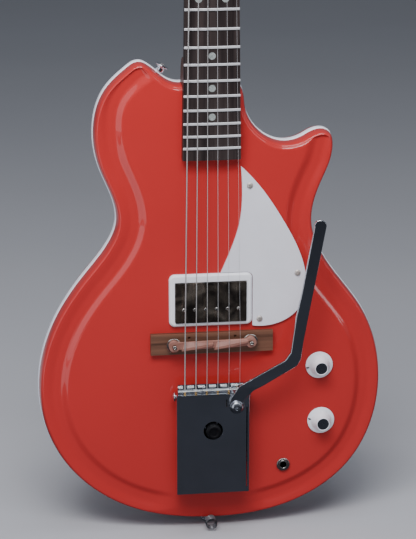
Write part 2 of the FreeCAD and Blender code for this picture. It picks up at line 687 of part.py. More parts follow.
gap, wall = "dims.cover_gap", "dims.cover_wall"
cover_outside = block("cover_outside", (f"{window[0]} + {gap}", f"{window[1]} - {gap}"),
                      (f"{window[2]} + {gap}", f"{window[3]} - {gap}"),
                      ("dims.cover_bottom", "dims.cover_top"))
cover_inside = block("cover_inside",
                     (f"{window[0]} + {gap} + {wall}", f"{window[1]} - {gap} - {wall}"),
                     (f"{window[2]} + {gap} + {wall}", f"{window[3]} - {gap} - {wall}"),
                     ("dims.cover_bottom - 1", f"dims.cover_top - {wall}"))
cover_holes = [rod(f"pole_hole_{n}", (x, "dims.pole_y", 0), 10, "dims.pole_head_radius + 0.12")
               for n, x in enumerate(POLES)]
node("pickup_cover", cut("cover_cut", cover_outside, [cover_inside] + cover_holes), FACE)

spool = join("spool", [
    block("spool_top", (-31, 31), ("dims.pole_y - 10", "dims.pole_y + 10"), (3.6, 4.6)),
    block("spool_core", (-27.4, 27.4), ("dims.pole_y - 3", "dims.pole_y + 3"), (-6, 3.6)),
    block("spool_bottom", (-31, 31), ("dims.pole_y - 10", "dims.pole_y + 10"), (-7, -6))])
spool_holes = [rod(f"spool_hole_{n}", (x, "dims.pole_y", -10), 20, "dims.pole_radius + dims.hole_gap")
               for n, x in enumerate(POLES)]
node("pickup_bobbin", cut("bobbin_cut", spool, spool_holes), FACE)
node("pickup_coil", cut("coil_cut", block("coil_outside", (-30.4, 30.4),
     ("dims.pole_y - 9", "dims.pole_y + 9"), (-5.95, 3.55)), [
     block("coil_inside", (-27.5, 27.5), ("dims.pole_y - 3.1", "dims.pole_y + 3.1"), (-8, 5))]), FACE)
magnet_bar = block("magnet_bar", (-29, 29), ("dims.pole_y + 11", "dims.pole_y + 19"), (-7, 2))
node("pickup_magnet", group("magnet", [magnet_bar]), FACE)

pole_screw = turned("pole_screw", [
    (0, "dims.pole_bottom"), ("dims.pole_radius", "dims.pole_bottom"), ("dims.pole_radius", 4.65),
    ("dims.pole_head_radius", 4.65), ("dims.pole_head_radius", "dims.pole_head_top - 0.4"),
    (1.4, "dims.pole_head_top"), (0, "dims.pole_head_top")])
doc.recompute()
node("pickup_pole_screws", shaped("pole_screw_set", copies(pole_screw.Shape, [
    Placement(Vector((n - 2.5) * d("pole_step"), d("pole_y"), 0), Rotation())
    for n in range(6)])), FACE)


# ---------------------------------------------------------------- bridge

base_bar = block("base_bar", ("dims.base_left", "dims.base_right"), ("dims.base_low", "dims.base_high"),
                 (0, "dims.base_height"))
base_holes = [rod(f"stud_hole_{side}", (f"dims.{x}", f"dims.{y}", -1), 10,
                  "dims.stud_radius + 0.02") for side, x, y in STUDS]
node("bridge_base", cut("bridge_base_cut", base_bar, base_holes), FACE)
node("bridge_studs", group("stud_pair", [
    rod(f"stud_{side}", (f"dims.{x}", f"dims.{y}", 0.2), "dims.stud_top - 0.2", "dims.stud_radius")
    for side, x, y in STUDS]), FACE)

for side, x, y in STUDS:
    wheel = turned(f"wheel_{side}", [
        ("dims.stud_radius + 0.04", "dims.wheel_low"),
        ("dims.thumbwheel_radius - 0.4", "dims.wheel_low"),
        ("dims.thumbwheel_radius", "dims.wheel_low + 0.4"),
        ("dims.thumbwheel_radius", "dims.wheel_high - 0.4"),
        ("dims.thumbwheel_radius - 0.4", "dims.wheel_high"),
        ("dims.stud_radius + 0.04", "dims.wheel_high")])
    node(f"thumbwheel_{side}", wheel, on_face(d(x), d(y)))


def crest(bottom, top):
    """Sloped step of the saddle: a ridge between two four-cornered outlines."""
    wires = []
    for corners, height in ((bottom, d("saddle_shoulder") - 0.5), (top, d("crest_height"))):
        loop = corners + corners[:1]
        wires.append(Part.makePolygon([Vector(x, y, height) for x, y in loop]))
    return stack(wires)


def saddle():
    """Bar between two round ends, with one slanted step under each three strings."""
    low, high, ends = d("saddle_low"), d("saddle_shoulder"), []
    for _, x, y in STUDS:
        ends.append(cylinder(d(x), d(y), low, high + 0.8, d("saddle_end_radius")))
    bar_corners = [(-36, 180.6), (37, 181.8), (37, 188), (-36, 187), (-36, 180.6)]
    bar = Part.Face(Part.makePolygon([Vector(x, y, low) for x, y in bar_corners]))
    bar = bar.extrude(Vector(0, 0, high - low))
    left = crest([(-29.1, 179.2), (-0.1, 180.6), (0.6, 187.2), (-26.5, 188)],
                 [(-28.9, 179.6), (-0.1, 183.9), (0.4, 186.2), (-28.4, 182.2)])
    right = crest([(1.8, 179.2), (34, 181.6), (34, 188.6), (4.6, 187.6)],
                  [(2, 179.8), (33, 185.4), (34, 187.6), (3.2, 182.4)])
    solid = bar.fuse(ends + [left, right])
    return solid.cut([cylinder(d(x), d(y), 0, 30, d("stud_radius") + 0.1) for _, x, y in STUDS])


node("bridge_saddle", shaped("saddle_wood", saddle()), FACE)


# ---------------------------------------------------------------- vibrato

pin_start = ("-dims.hinge_reach", "dims.hinge_y", "dims.hinge_height")
node("vibrato_hinge_pin", group("hinge_pin", [
    rod("hinge_rod", pin_start, "2 * dims.hinge_reach", "dims.hinge_radius", "x")]), FACE)
node("vibrato_tension_stud", group("tension_stud", [
    rod("tension_rod", (0, "dims.tension_y", 0.1), "dims.tension_stud_top", "dims.stud_radius")]),
    FACE)


def ear(side):
    """Hinge ear of the base, as a post with a round end about the pin."""
    inner, outer = sorted((side + " * dims.ear_inner", side + " * dims.ear_outer"),
                          key=lambda e: float(sheet.evalExpression(e)))
    post = block("ear_post" + side, (inner, outer),
                 ("dims.hinge_y - dims.ear_radius", "dims.hinge_y + dims.ear_radius"),
                 (0, "dims.hinge_height"))
    eye = rod("ear_eye" + side, (inner, "dims.hinge_y", "dims.hinge_height"),
              "dims.ear_outer - dims.ear_inner", "dims.ear_radius", "x")
    return [post, eye]


base_plate = block("vibrato_base_plate", ("-dims.ear_outer", "dims.ear_outer"),
                   ("dims.vibrato_base_low", "dims.vibrato_base_high + 8"),
                   (0, "dims.vibrato_base_thick"))
base_body = join("vibrato_base_body", [base_plate] + ear("-1") + ear("1"))
base_tools = [rod("base_pin_hole", pin_start, "2 * dims.hinge_reach",
                  "dims.hinge_radius + 0.02", "x"),
              rod("base_stud_hole", (0, "dims.tension_y", -1), 6, "dims.stud_radius + 0.02")]
base_tools += [rod(f"base_screw_hole_{n}", (x, y, -1), 6, "dims.screw_radius + dims.hole_gap")
               for n, (x, y) in enumerate(BASE_SCREWS)]
node("vibrato_base", cut("vibrato_base_cut", base_body, base_tools), FACE)

inner_half = "dims.plate_half - dims.plate_thick"
length = ("dims.plate_low", "dims.plate_high")
channel_block = block("plate_block", ("-dims.plate_half", "dims.plate_half"), length,
                      ("dims.flange_bottom", "dims.plate_top"))
doc.recompute()
long_top = [number for number in top_edges(channel_block, d("plate_top"))
            if abs(channel_block.Shape.Edges[number - 1].tangentAt(0).y) > 0.99]
plate_eased = eased("plate_eased", "Part::Fillet", channel_block, long_top, d("plate_fold"))
plate_hollow = block("plate_hollow", (f"-({inner_half})", inner_half),
                     ("dims.plate_low - 5", "dims.plate_high - dims.plate_thick"),
                     ("dims.flange_bottom - 5", "dims.plate_top - dims.plate_thick"))
lip_gap = block("lip_gap", (f"-({inner_half})", inner_half),
                ("dims.plate_high - 3", "dims.plate_high + 3"), ("dims.flange_bottom - 5", "dims.lip_bottom"))
folded = cut("plate_folded", plate_eased, [plate_hollow, lip_gap])
bracket = block("spring_bracket", (f"-({inner_half})", inner_half),
                ("dims.bracket_low", "dims.bracket_high"), ("dims.bracket_bottom", "dims.bracket_top"))
bracket_sides = [block(f"bracket_side_{n}", (low, high), ("dims.bracket_low", "dims.bracket_high"),
                       ("dims.bracket_bottom", "dims.flange_bottom + 4"))
                 for n, (low, high) in enumerate(((f"-({inner_half})", f"-({inner_half}) + 1.5"),
                                                  (f"({inner_half}) - 1.5", inner_half)))]
plate_tools = [
    rod("plate_pin_hole", pin_start, "2 * dims.hinge_reach", "dims.hinge_radius + 0.04", "x"),
    rod("knob_window", (0, "dims.tension_y", "dims.bracket_top + 1"), 30, "dims.knob_window_radius"),
    rod("bracket_hole", (0, "dims.tension_y", 0), 12, "dims.stud_radius + 1.2"),
    rod("arm_screw_hole", ("dims.arm_x", "dims.arm_y", 10), 20, "dims.arm_hole")]
node("vibrato_plate", cut("vibrato_plate_cut", join("plate_joined", [folded, bracket] + bracket_sides),
                          plate_tools), FACE)


def spring():
    """Compression spring on the tension stud, between the bracket and the knob."""
    wire, mean = d("spring_wire"), d("spring_mean")
    low, high = d("bracket_top") + wire + 0.05, d("tension_bottom") - wire - 0.05
    coil = Part.makeHelix((high - low) / 4, high - low, mean)
    profile = Part.Wire([Part.makeCircle(wire, Vector(mean, 0, 0), Vector(0, 1, 0))])
    solid = coil.makePipeShell([profile], True, True)
    solid.translate(Vector(0, d("tension_y"), low))
    return solid


node("vibrato_spring", shaped("spring_coil", spring()), FACE)
node("tension_knob", turned("tension_cap", [
    (0, "dims.tension_top"), (5.6, "dims.tension_top"), ("dims.tension_radius", "dims.tension_top - 1.4"),
    ("dims.tension_radius", "dims.tension_bottom"), ("dims.stud_radius + 0.05", "dims.tension_bottom"),
    ("dims.stud_radius + 0.05", "dims.tension_stud_top + 0.3"), (0, "dims.tension_stud_top + 0.3")]),
    on_face(0, d("tension_y")))

bar_block = block("bar_block", ("-dims.bar_half", "dims.bar_half"), ("dims.bar_low + 0.02", "dims.bar_high"),
                  ("dims.bar_bottom", "dims.bar_top"))
full_width = ("-dims.bar_half - 1", "dims.bar_half + 1")
trough = block("ball_trough", full_width, ("dims.bar_low", "dims.ball_y + dims.ball_radius + 0.15"),
               ("dims.bar_bottom + 0.3", "dims.bar_top + 1"))
comb = block("comb_groove", full_width, ("dims.comb_low", "dims.comb_high"),
             ("dims.bar_top - dims.comb_depth", "dims.bar_top + 1"))
string_slots = []
for index, radius in enumerate(STRING_RADII):
    x = spread(index, d("bridge_spread"))
    string_slots.append(block(f"bar_slot_{index}", (x - radius - 0.25, x + radius + 0.25),
                              ("dims.ball_y", "dims.bar_high + 1"),
                              ("dims.bar_bottom + 1.2", "dims.bar_top + 1")))
node("string_anchor_bar", cut("anchor_bar_cut", bar_block, [trough, comb] + string_slots), FACE)
node("string_ball_ends", shaped("ball_set", Part.makeCompound([
    Part.makeSphere(d("ball_radius"), Vector(spread(index, d("bridge_spread")), d("ball_y"),
                                             d("anchor_string_height"))) for index in range(6)])), FACE)


def arm():
    """Flat bar: a round tab under the screw, a rise, an elbow and a straight grip."""
    corners = [(15.6, 125), (15.6, 131), (24.4, 147.2), (67.3, 170), (72.7, 177.9), (77.3, 212.3),
               (82.8, 238.1), (93.4, 298.5)]
    returning = [(104.8, 298.1), (93.7, 237.6), (85.3, 190.6), (82.4, 170.7), (78.9, 164.3),
                 (38.1, 140.9), (28.2, 129)]
    tip, tab_low = Vector(99.7, 305.8, 0), Vector(21.9, 117.4, 0)
    left = [Vector(x, y, 0) for x, y in corners]
    right = [Vector(x, y, 0) for x, y in returning]
    edges = [Part.LineSegment(a, b) for a, b in zip(left, left[1:])]
    edges.append(Part.Arc(left[-1], tip, right[0]))
    edges += [Part.LineSegment(a, b) for a, b in zip(right, right[1:])]
    edges.append(Part.Arc(right[-1], tab_low, left[0]))
    plan = Part.Face(Part.Wire([edge.toShape() for edge in edges]))
    plan.translate(Vector(0, 0, 10))
    low, high, thick = d("plate_top") + d("arm_gap"), d("arm_bar_bottom"), d("arm_thick")
    side = [(110, low), (133, low), (147, high), (320, high), (320, high + thick),
            (146, high + thick), (132, low + thick), (110, low + thick), (110, low)]
    profile = Part.Face(Part.makePolygon([Vector(0, y, z) for y, z in side]))
    bar = plan.extrude(Vector(0, 0, 30)).common(profile.extrude(Vector(120, 0, 0)))
    return bar.cut(cylinder(d("arm_x"), d("arm_y"), 0, 40, d("arm_hole")))


node("vibrato_arm", shaped("arm_bar", arm()), FACE)
arm_seat = "dims.plate_top + 2 * dims.arm_gap + dims.arm_thick"
node("arm_screw", turned("arm_screw_body", [
    (0, "dims.plate_top - 4"), ("dims.arm_screw_radius", "dims.plate_top - 4"),
    ("dims.arm_screw_radius", arm_seat), ("dims.arm_head_radius", arm_seat),
    ("dims.arm_head_radius", f"{arm_seat} + 0.8"), ("dims.arm_head_radius - 1.2", f"{arm_seat} + 2.5"),
    (3, f"{arm_seat} + 3.4"), (0, f"{arm_seat} + 3.7")]), on_face(d("arm_x"), d("arm_y")))


# ---------------------------------------------------------------- controls, jack and wiring

pots, nuts = [], []
for name in CONTROLS:
    x, y = f"dims.{name}_x", f"dims.{name}_y"
    can = join(f"{name}_pot_solid", [
        rod(f"{name}_can", (x, y, "dims.pot_bottom"), "dims.front_ceiling - 0.1 - dims.pot_bottom",
            "dims.pot_radius"),
        rod(f"{name}_bushing", (x, y, "dims.front_ceiling - 1"), "6 - dims.front_ceiling",
            "dims.bushing_radius"),
        block(f"{name}_lugs", (f"{x} - 5", f"{x} + 5"), (f"{y} - 17", f"{y} - 8"), (-9, -7.5))])
    pots.append(cut(f"{name}_pot", can, [
        rod(f"{name}_pot_bore", (x, y, -14), 30, "dims.shaft_radius + 0.05")]))
    hexagon = feature("Part::Prism", f"{name}_hexagon")
    hexagon.setExpression("Height", "dims.control_nut_height")
    hexagon.setExpression("Circumradius", "dims.control_nut_radius")
    hexagon.Placement = Placement(Vector(*CONTROLS[name], 0.05), Rotation())
    nuts.append(cut(f"{name}_nut", hexagon, [
        rod(f"{name}_nut_bore", (x, y, -1), 8, "dims.bushing_radius + 0.02")]))
    place = on_face(*CONTROLS[name])
    node(f"{name}_shaft", turned(f"{name}_shaft_rod", [
        (0, -13.8), ("dims.shaft_radius", -13.8), ("dims.shaft_radius", "dims.knob_top - 2.5"),
        (0, "dims.knob_top - 2.5")]), place)
    node(f"{name}_knob", turned(f"{name}_knob_body", [
        ("dims.shaft_radius + 0.02", 7.2), (8.4, 7.2), (8.4, "dims.knob_low"),
        ("dims.knob_radius", "dims.knob_low"), ("dims.knob_radius", "dims.knob_low + 1.2"),
        ("dims.knob_radius - 1.2", "dims.knob_low + 2.2"), ("dims.knob_neck + 0.9", 8.6),
        ("dims.knob_neck", 9.6), ("dims.knob_neck", "dims.knob_top - 0.3"),
        ("dims.knob_neck - 0.4", "dims.knob_top"), (0, "dims.knob_top"),
        (0, "dims.knob_top - 2.4"), ("dims.shaft_radius + 0.02", "dims.knob_top - 2.4")]), place)
node("potentiometers", group("pot_pair", pots), FACE)
node("control_nuts", group("nut_pair", nuts), FACE)

jack_barrel = turned("jack_barrel", [
    ("dims.jack_bore", -22), (5.5, -22), (5.5, -9), (8, -9), (8, "dims.front_ceiling - 0.1"),
    ("dims.bushing_radius", "dims.front_ceiling - 0.1"), ("dims.bushing_radius", 2.8),
    ("dims.jack_bore", 2.8)])
jack_nut = turned("jack_nut", [
    ("dims.bushing_radius + 0.02", 0.05), ("dims.jack_nut_radius", 0.05),
    ("dims.jack_nut_radius", 1.8), ("dims.jack_nut_radius - 0.5", 2.3),
    ("dims.bushing_radius + 0.02", 2.3)])
node("output_jack", group("jack_pair", [jack_barrel, jack_nut]), on_face(d("jack_x"), d("jack_y")))


def wire(points, radius=0.8):
    path = Part.makePolygon([Vector(*point) for point in points])
    start = Vector(*points[0])
    profile = Part.Wire([Part.makeCircle(radius, start, Vector(*points[1]) - start)])
    return path.makePipeShell([profile], True, False, 1)


def wiring():
    """Leads between the controls, the pickup and the jack, and the tone capacitor."""
    can = d("pot_bottom") - 0.8
    volume, tone = CONTROLS["volume"], CONTROLS["tone"]
    jack = (d("jack_x"), d("jack_y"))
    leads = [
        wire([(volume[0] + 4, volume[1] - 4, can), (volume[0] + 4, volume[1] - 6, can - 4),
              (tone[0] + 4, tone[1] + 8, can - 4), (tone[0] + 4, tone[1] + 5, can)]),
        wire([(volume[0] - 6, volume[1], can), (volume[0] - 9, volume[1], can - 5),
              (60, 190, can - 5), (30, 215, can - 1), (24, 225, can + 2.5), (20, 225, can + 4)]),
        wire([(tone[0] - 5, tone[1] - 3, can), (tone[0] - 9, tone[1] - 6, can - 4),
              (jack[0] + 12, jack[1] + 4, can - 4), (jack[0] + 6.9, jack[1], -18)]),
    ]
    capacitor = cylinder(tone[0] - 3, tone[1] - 3, can - 4.5, can - 0.3, 5)
    return Part.makeCompound(leads + [capacitor])


node("wiring_harness", shaped("harness", wiring()), FACE)


# ---------------------------------------------------------------- tuners

def tuner_shell(side, x, y):
    """Bushing, washer and closed gear case on the back of the headstock."""
    back = -d("head_thick")
    half, low, high = d("housing_half"), y + d("housing_low"), y + d("housing_high")
    depth, wall = d("housing_depth"), d("housing_wall")
    case = slab((x - half, x + half), (low, high), (back - depth, back - 0.05))
    room = slab((x - half + wall, x + half - wall), (low + wall, high - wall),
                (back - depth + wall, back - wall))
    screw, outer = tuner_screw_place(side, y), side * half
    foot_x = sorted((x + outer, x + outer + side * 5))
    foot = slab(foot_x, (y - 0.5, y + 6), (back - 1, back - 0.05))
    tools = [room, cylinder(x, y, back - 3, back + 3, d("post_radius") + 0.05),
             cylinder(screw.x, screw.y, back - 3, back + 3, d("screw_radius") + d("hole_gap")),
             Part.makeCylinder(1.55, 12, Vector(x, y + d("worm_offset"), d("worm_depth")),
                               Vector(side, 0, 0))]
    sleeve = cylinder(x, y, back + 0.02, 0.05, 4.05).fuse(cylinder(x, y, 0.05, 1.4, 5.6))
    sleeve = sleeve.cut(cylinder(x, y, back - 1, 3, d("post_radius") + 0.05))
    return [case.fuse(foot).cut(tools), sleeve]


housings = []
for index in range(6):
    housings += tuner_shell(*post_place(index))
node("tuner_housings", shaped("tuner_cases", Part.makeCompound(housings)), HEAD)

for index in range(6):
    side, x, y = post_place(index)
    label = index + 1
    post = turned(f"post_{label}", [
        (0, "dims.post_bottom"), ("dims.post_radius", "dims.post_bottom"),
        ("dims.post_radius", "dims.wheel_bottom"), ("dims.wheel_radius", "dims.wheel_bottom"),
        ("dims.wheel_radius", "dims.wheel_top"), ("dims.post_radius", "dims.wheel_top"),
        ("dims.post_radius", 4), ("dims.post_groove_radius", 5), ("dims.post_groove_radius", 7.5),
        ("dims.post_radius", 8.5), ("dims.post_radius", "dims.post_top - 0.5"),
        ("dims.post_radius - 0.5", "dims.post_top"), (0, "dims.post_top")])
    node(f"tuner_post_{label}", post, HEAD.multiply(Placement(Vector(x, y, 0), Rotation())))
    crank = turned(f"crank_{label}", [
        (0, -6), ("dims.worm_radius", -6), ("dims.worm_radius", 6), (1.5, 6),
        (1.5, "dims.button_reach"), (3, "dims.button_reach"), (4.2, "dims.button_reach + 2"),
        (4.2, "dims.button_reach + dims.button_length - 2"),
        (3, "dims.button_reach + dims.button_length"), (0, "dims.button_reach + dims.button_length")])
    wing = padded(f"wing_{label}", [
        (-8, 2), (8, 2), (8.6, 5), (7, 9.5), (-7, 9.5), (-8.6, 5)], -1.8, 1.8)
    wing.Placement = Placement(Vector(0, 0, d("button_reach")), Rotation(Vector(1, 0, 0), 90))
    turn = Rotation(Vector(0, 1, 0), 90 * side)
    node(f"tuner_button_{label}", join(f"button_{label}", [crank, wing]), HEAD.multiply(
        Placement(Vector(x, y + d("worm_offset"), d("worm_depth")), turn)))


# ---------------------------------------------------------------- strings

def string(index):
    """One string from its ball end over the saddle and the nut to its post."""
    radius = STRING_RADII[index]
    side, x, y = post_place(index)
    rise = radius + d("string_gap")
    reach = side * (d("post_groove_radius") + rise)
    into_face = FACE.inverse().multiply(HEAD)
    points = [
        Vector(spread(index, d("bridge_spread")), d("anchor_string_y"), d("anchor_string_height")),
        Vector(spread(index, d("bridge_spread")), BREAK_LINE[index], d("crest_height") + rise),
        Vector(spread(index, d("nut_spread")), NUT_LINE + d("nut_length"),
               d("nut_string_height") + rise),
        into_face.multVec(Vector(x - reach, y, d("post_string_height")))]
    profile = Part.Wire([Part.makeCircle(radius, points[0], points[1] - points[0])])
    return Part.makePolygon(points).makePipeShell([profile], True, False, 1)


node("wound_strings", shaped("bass_strings", Part.makeCompound([string(n) for n in range(3)])), FACE)
node("plain_strings", shaped("treble_strings", Part.makeCompound([string(n) for n in range(3, 6)])),
     FACE)


# ---------------------------------------------------------------- checks and files

doc.recompute()
for thing in doc.Objects:
    if "Invalid" in thing.State or "Error" in thing.State:
        raise RuntimeError(f"{thing.Name} failed: {thing.State}")
os.makedirs("parts", exist_ok=True)
for name, thing in nodes.items():
    shape = thing.Shape
    if shape.isNull() or not shape.isValid() or not shape.Solids:
        raise RuntimeError(f"{name} has no valid solid")
for name, thing in nodes.items():
    thing.Shape.exportStep(f"parts/{name}.step")
print(len(nodes), "nodes written")
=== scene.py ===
"""Electric guitar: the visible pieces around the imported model, its materials, light and camera.

Blender works in metres in the model's own frame: +Z up the neck, -Y out of the face, +X treble.
Helpers take face coordinates in millimetres: x across, up the neck, out of the face.
"""

import json
import math

import bmesh
import bpy
import numpy as np
from mathutils import Matrix, Vector
from mathutils.geometry import delaunay_2d_cdt
from mathutils.kdtree import KDTree


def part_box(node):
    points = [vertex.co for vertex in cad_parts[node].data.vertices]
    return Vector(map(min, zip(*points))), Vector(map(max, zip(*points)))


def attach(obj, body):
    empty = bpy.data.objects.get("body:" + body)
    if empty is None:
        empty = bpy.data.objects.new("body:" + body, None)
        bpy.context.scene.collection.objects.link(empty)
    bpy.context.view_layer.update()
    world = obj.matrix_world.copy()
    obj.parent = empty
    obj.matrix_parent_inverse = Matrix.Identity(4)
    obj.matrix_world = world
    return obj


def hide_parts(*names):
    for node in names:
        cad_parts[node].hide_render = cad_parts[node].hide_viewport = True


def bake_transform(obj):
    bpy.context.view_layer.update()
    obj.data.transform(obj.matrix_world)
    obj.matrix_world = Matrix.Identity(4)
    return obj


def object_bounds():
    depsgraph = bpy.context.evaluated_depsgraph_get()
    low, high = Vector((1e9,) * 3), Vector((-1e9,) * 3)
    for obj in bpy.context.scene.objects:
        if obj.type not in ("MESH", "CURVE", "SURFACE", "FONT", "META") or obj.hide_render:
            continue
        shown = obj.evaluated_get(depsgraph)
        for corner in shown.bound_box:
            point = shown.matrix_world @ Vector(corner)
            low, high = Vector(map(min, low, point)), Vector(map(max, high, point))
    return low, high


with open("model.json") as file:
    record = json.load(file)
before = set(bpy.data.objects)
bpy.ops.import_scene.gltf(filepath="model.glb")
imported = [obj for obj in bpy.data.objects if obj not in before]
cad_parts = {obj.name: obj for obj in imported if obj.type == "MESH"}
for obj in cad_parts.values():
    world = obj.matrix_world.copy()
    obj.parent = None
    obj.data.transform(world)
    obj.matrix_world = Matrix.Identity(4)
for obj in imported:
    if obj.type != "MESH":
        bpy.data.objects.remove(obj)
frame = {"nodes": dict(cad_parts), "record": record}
cad_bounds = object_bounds()

MM = 0.001
# corners nearer than this, in metres, are one: in a CAD mesh, and in a shell made here
MERGE = 1e-6
WELD = 2e-5
# edges sharper than this, in degrees, stay crisp
SHARP_ANGLE = 35.0
SHELL_SHARP_ANGLE = 60.0
BODIES = frame["record"]["behaviour"]["bodies"]
BODY_OF = {node: body for body, members in BODIES.items() for node in members}
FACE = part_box("body_front_shell")[0].y / MM


# ---------------------------------------------------------------- places

def at(x, up, out=0.0):
    """Point in the model's frame from face coordinates in millimetres."""
    return Vector((x, FACE - out, up)) * MM


def facing(x, up, out=0.0):
    """Matrix from a local millimetre frame, whose z points out of the face, to the model's frame."""
    turn = Matrix(((1, 0, 0), (0, 0, -1), (0, 1, 0))).to_4x4()
    return Matrix.Translation(at(x, up, out)) @ turn @ Matrix.Scale(MM, 4)


def facing_back(x, up, out):
    return facing(x, up, out) @ Matrix.Rotation(math.pi, 4, "X")


def span(node):
    """A node's box in face coordinates: (x, up, out) of its low and of its high corner."""
    low, high = (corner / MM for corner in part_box(node))
    return (low.x, low.z, FACE - high.y), (high.x, high.z, FACE - low.y)


def middle(node):
    low, high = span(node)
    return tuple((a + b) / 2 for a, b in zip(low, high))


def islands(node):
    """Boxes of the separate solids in a node, in face coordinates, from the treble side down."""
    bm = bmesh.new()
    bm.from_mesh(frame["nodes"][node].data)
    bmesh.ops.remove_doubles(bm, verts=bm.verts, dist=MERGE)
    found, left = [], set(bm.verts)
    while left:
        stack, members = [left.pop()], []
        while stack:
            vertex = stack.pop()
            members.append(vertex.co / MM)
            near = [edge.other_vert(vertex) for edge in vertex.link_edges]
            stack += [other for other in near if other in left]
            left.difference_update(near)
        low = [min(point[axis] for point in members) for axis in range(3)]
        high = [max(point[axis] for point in members) for axis in range(3)]
        found.append(((low[0], low[2], FACE - high[1]), (high[0], high[2], FACE - low[1])))
    bm.free()
    return sorted(found)


# ---------------------------------------------------------------- material helpers

class Look:
    """A procedural material: a principled shader and the nodes that drive it."""

    def __init__(self, name, colour, roughness, metallic=0.0, **sockets):
        self.material = bpy.data.materials.new(name)
        self.material.use_nodes = True
        self.tree = self.material.node_tree
        self.shader = self.tree.nodes["Principled BSDF"]
        self.colour = (*colour, 1.0)
        self.set(self.shader, {"Base Color": self.colour, "Roughness": roughness,
                               "Metallic": metallic})
        self.set(self.shader, {key.replace("_", " "): value for key, value in sockets.items()})

    def set(self, node, values):
        for key, value in values.items():
            node.inputs[key].default_value = value

    def add(self, kind, **values):
        node = self.tree.nodes.new("ShaderNode" + kind)
        self.set(node, {key.replace("_", " "): value for key, value in values.items()})
        return node

    def link(self, source, target):
        self.tree.links.new(source, target)

    def place(self, stretch=(1.0, 1.0, 1.0)):
        """The piece's own coordinates in metres, stretched along the axes."""
        where = self.add("TexCoord")
        mapping = self.add("Mapping", Scale=stretch)
        self.link(where.outputs["Object"], mapping.inputs["Vector"])
        return mapping.outputs["Vector"]

    def noise(self, scale, detail=4.0, stretch=(1.0, 1.0, 1.0), distortion=0.0):
        cloud = self.add("TexNoise", Scale=scale, Detail=detail, Distortion=distortion)
        self.link(self.place(stretch), cloud.inputs["Vector"])
        return cloud.outputs["Fac"]

    def waves(self, scale, axis):
        wave = self.add("TexWave", Scale=scale, Distortion=0.0)
        wave.bands_direction = axis
        self.link(self.place(), wave.inputs["Vector"])
        return wave.outputs["Fac"]

    def ranged(self, factor, low, high, start=0.3, end=0.7):
        span_node = self.add("MapRange", From_Min=start, From_Max=end, To_Min=low, To_Max=high)
        self.link(factor, span_node.inputs["Value"])
        return span_node.outputs["Result"]

    def colours(self, factor, stops):
        """Base colour from (position, colour) stops."""
        ramp = self.add("ValToRGB")
        while len(ramp.color_ramp.elements) < len(stops):
            ramp.color_ramp.elements.new(0.5)
        for element, (position, colour) in zip(ramp.color_ramp.elements, stops):
            element.position = position
            element.color = (*colour, 1.0)
        self.link(factor, ramp.inputs["Fac"])
        self.link(ramp.outputs["Color"], self.shader.inputs["Base Color"])
        return self

    def mottle(self, factor, low=0.9, high=1.08):
        """Base colour a little darker and lighter with a factor."""
        dark = tuple(channel * low for channel in self.colour[:3])
        light = tuple(channel * high for channel in self.colour[:3])
        return self.colours(factor, [(0.3, dark), (0.7, light)])

    def rough(self, factor, low, high):
        self.link(self.ranged(factor, low, high), self.shader.inputs["Roughness"])
        return self

    def bump(self, height, depth, strength=1.0):
        """Relief of a real depth in metres."""
        relief = self.add("Bump", Strength=strength, Distance=depth)
        self.link(height, relief.inputs["Height"])
        self.link(relief.outputs["Normal"], self.shader.inputs["Normal"])
        return self


def red_gelcoat():
    look = Look("red_gelcoat", (0.51, 0.030, 0.028), 0.34, Coat_Weight=0.9, Coat_Roughness=0.045,
                Coat_IOR=1.62, Specular_IOR_Level=0.2)
    look.mottle(look.noise(9, 3), 0.97, 1.03).rough(look.noise(40, 4), 0.31, 0.37)
    return look.bump(look.noise(30, 1), 0.00002, 0.4)


def white_vinyl():
    look = Look("white_vinyl", (0.90, 0.92, 1.0), 0.42)
    look.mottle(look.noise(60, 4), 0.94, 1.03).rough(look.noise(200, 4), 0.36, 0.5)
    return look.bump(look.noise(900, 3), 0.00005, 0.5)


def white_plastic(name, colour, lightest):
    look = Look(name, colour, 0.34, Coat_Weight=0.15)
    look.mottle(look.noise(30, 5), 0.96, lightest).rough(look.noise(160, 6), 0.28, 0.42)
    return look.bump(look.noise(1500, 2, (1, 1, 0.1)), 0.00002, 0.4)


def polished(name, colour, low, high, metallic=1.0):
    """Plated metal with faint wear in its gloss."""
    look = Look(name, colour, low, metallic)
    look.mottle(look.noise(55, 5), 0.95, 1.03).rough(look.noise(120, 6), low, high)
    return look.bump(look.noise(700, 2), 0.00001, 0.3)


def chrome_painted_reflections():
    """Pickup plating with soft clouds from near black to brown in its colour: painted reflections."""
    look = Look("chrome_painted_reflections", (0.40, 0.36, 0.34), 0.1, 0.88)
    clouds = look.noise(60, 5, distortion=1.2)
    # painted reflections: clouds from near black to brown in the plating's colour
    look.colours(clouds, [(0.36, (0.06, 0.05, 0.045)), (0.55, (0.19, 0.16, 0.13)),
                          (0.7, (0.44, 0.37, 0.30))])
    return look.rough(look.noise(90, 5), 0.10, 0.24).bump(look.noise(25, 2), 0.0003, 0.3)


def cap_black():
    look = Look("cap_black", (0.003, 0.003, 0.004), 0.55, Specular_IOR_Level=0.25)
    return look.mottle(look.noise(80, 4), 0.8, 1.3).rough(look.noise(300, 4), 0.5, 0.65)


def black_plastic():
    look = Look("black_plastic", (0.010, 0.010, 0.012), 0.35)
    look.mottle(look.noise(80, 4), 0.8, 1.3).rough(look.noise(300, 4), 0.3, 0.48)
    return look.bump(look.noise(1400, 3), 0.00004, 0.5)


def cream_plastic():
    look = Look("cream_plastic", (0.70, 0.62, 0.44), 0.3, Coat_Weight=0.2, Subsurface_Weight=0.05)
    look.mottle(look.noise(120, 5, distortion=1.5), 0.88, 1.06)
    return look.rough(look.noise(220, 4), 0.26, 0.4).bump(look.noise(900, 2), 0.00002, 0.4)


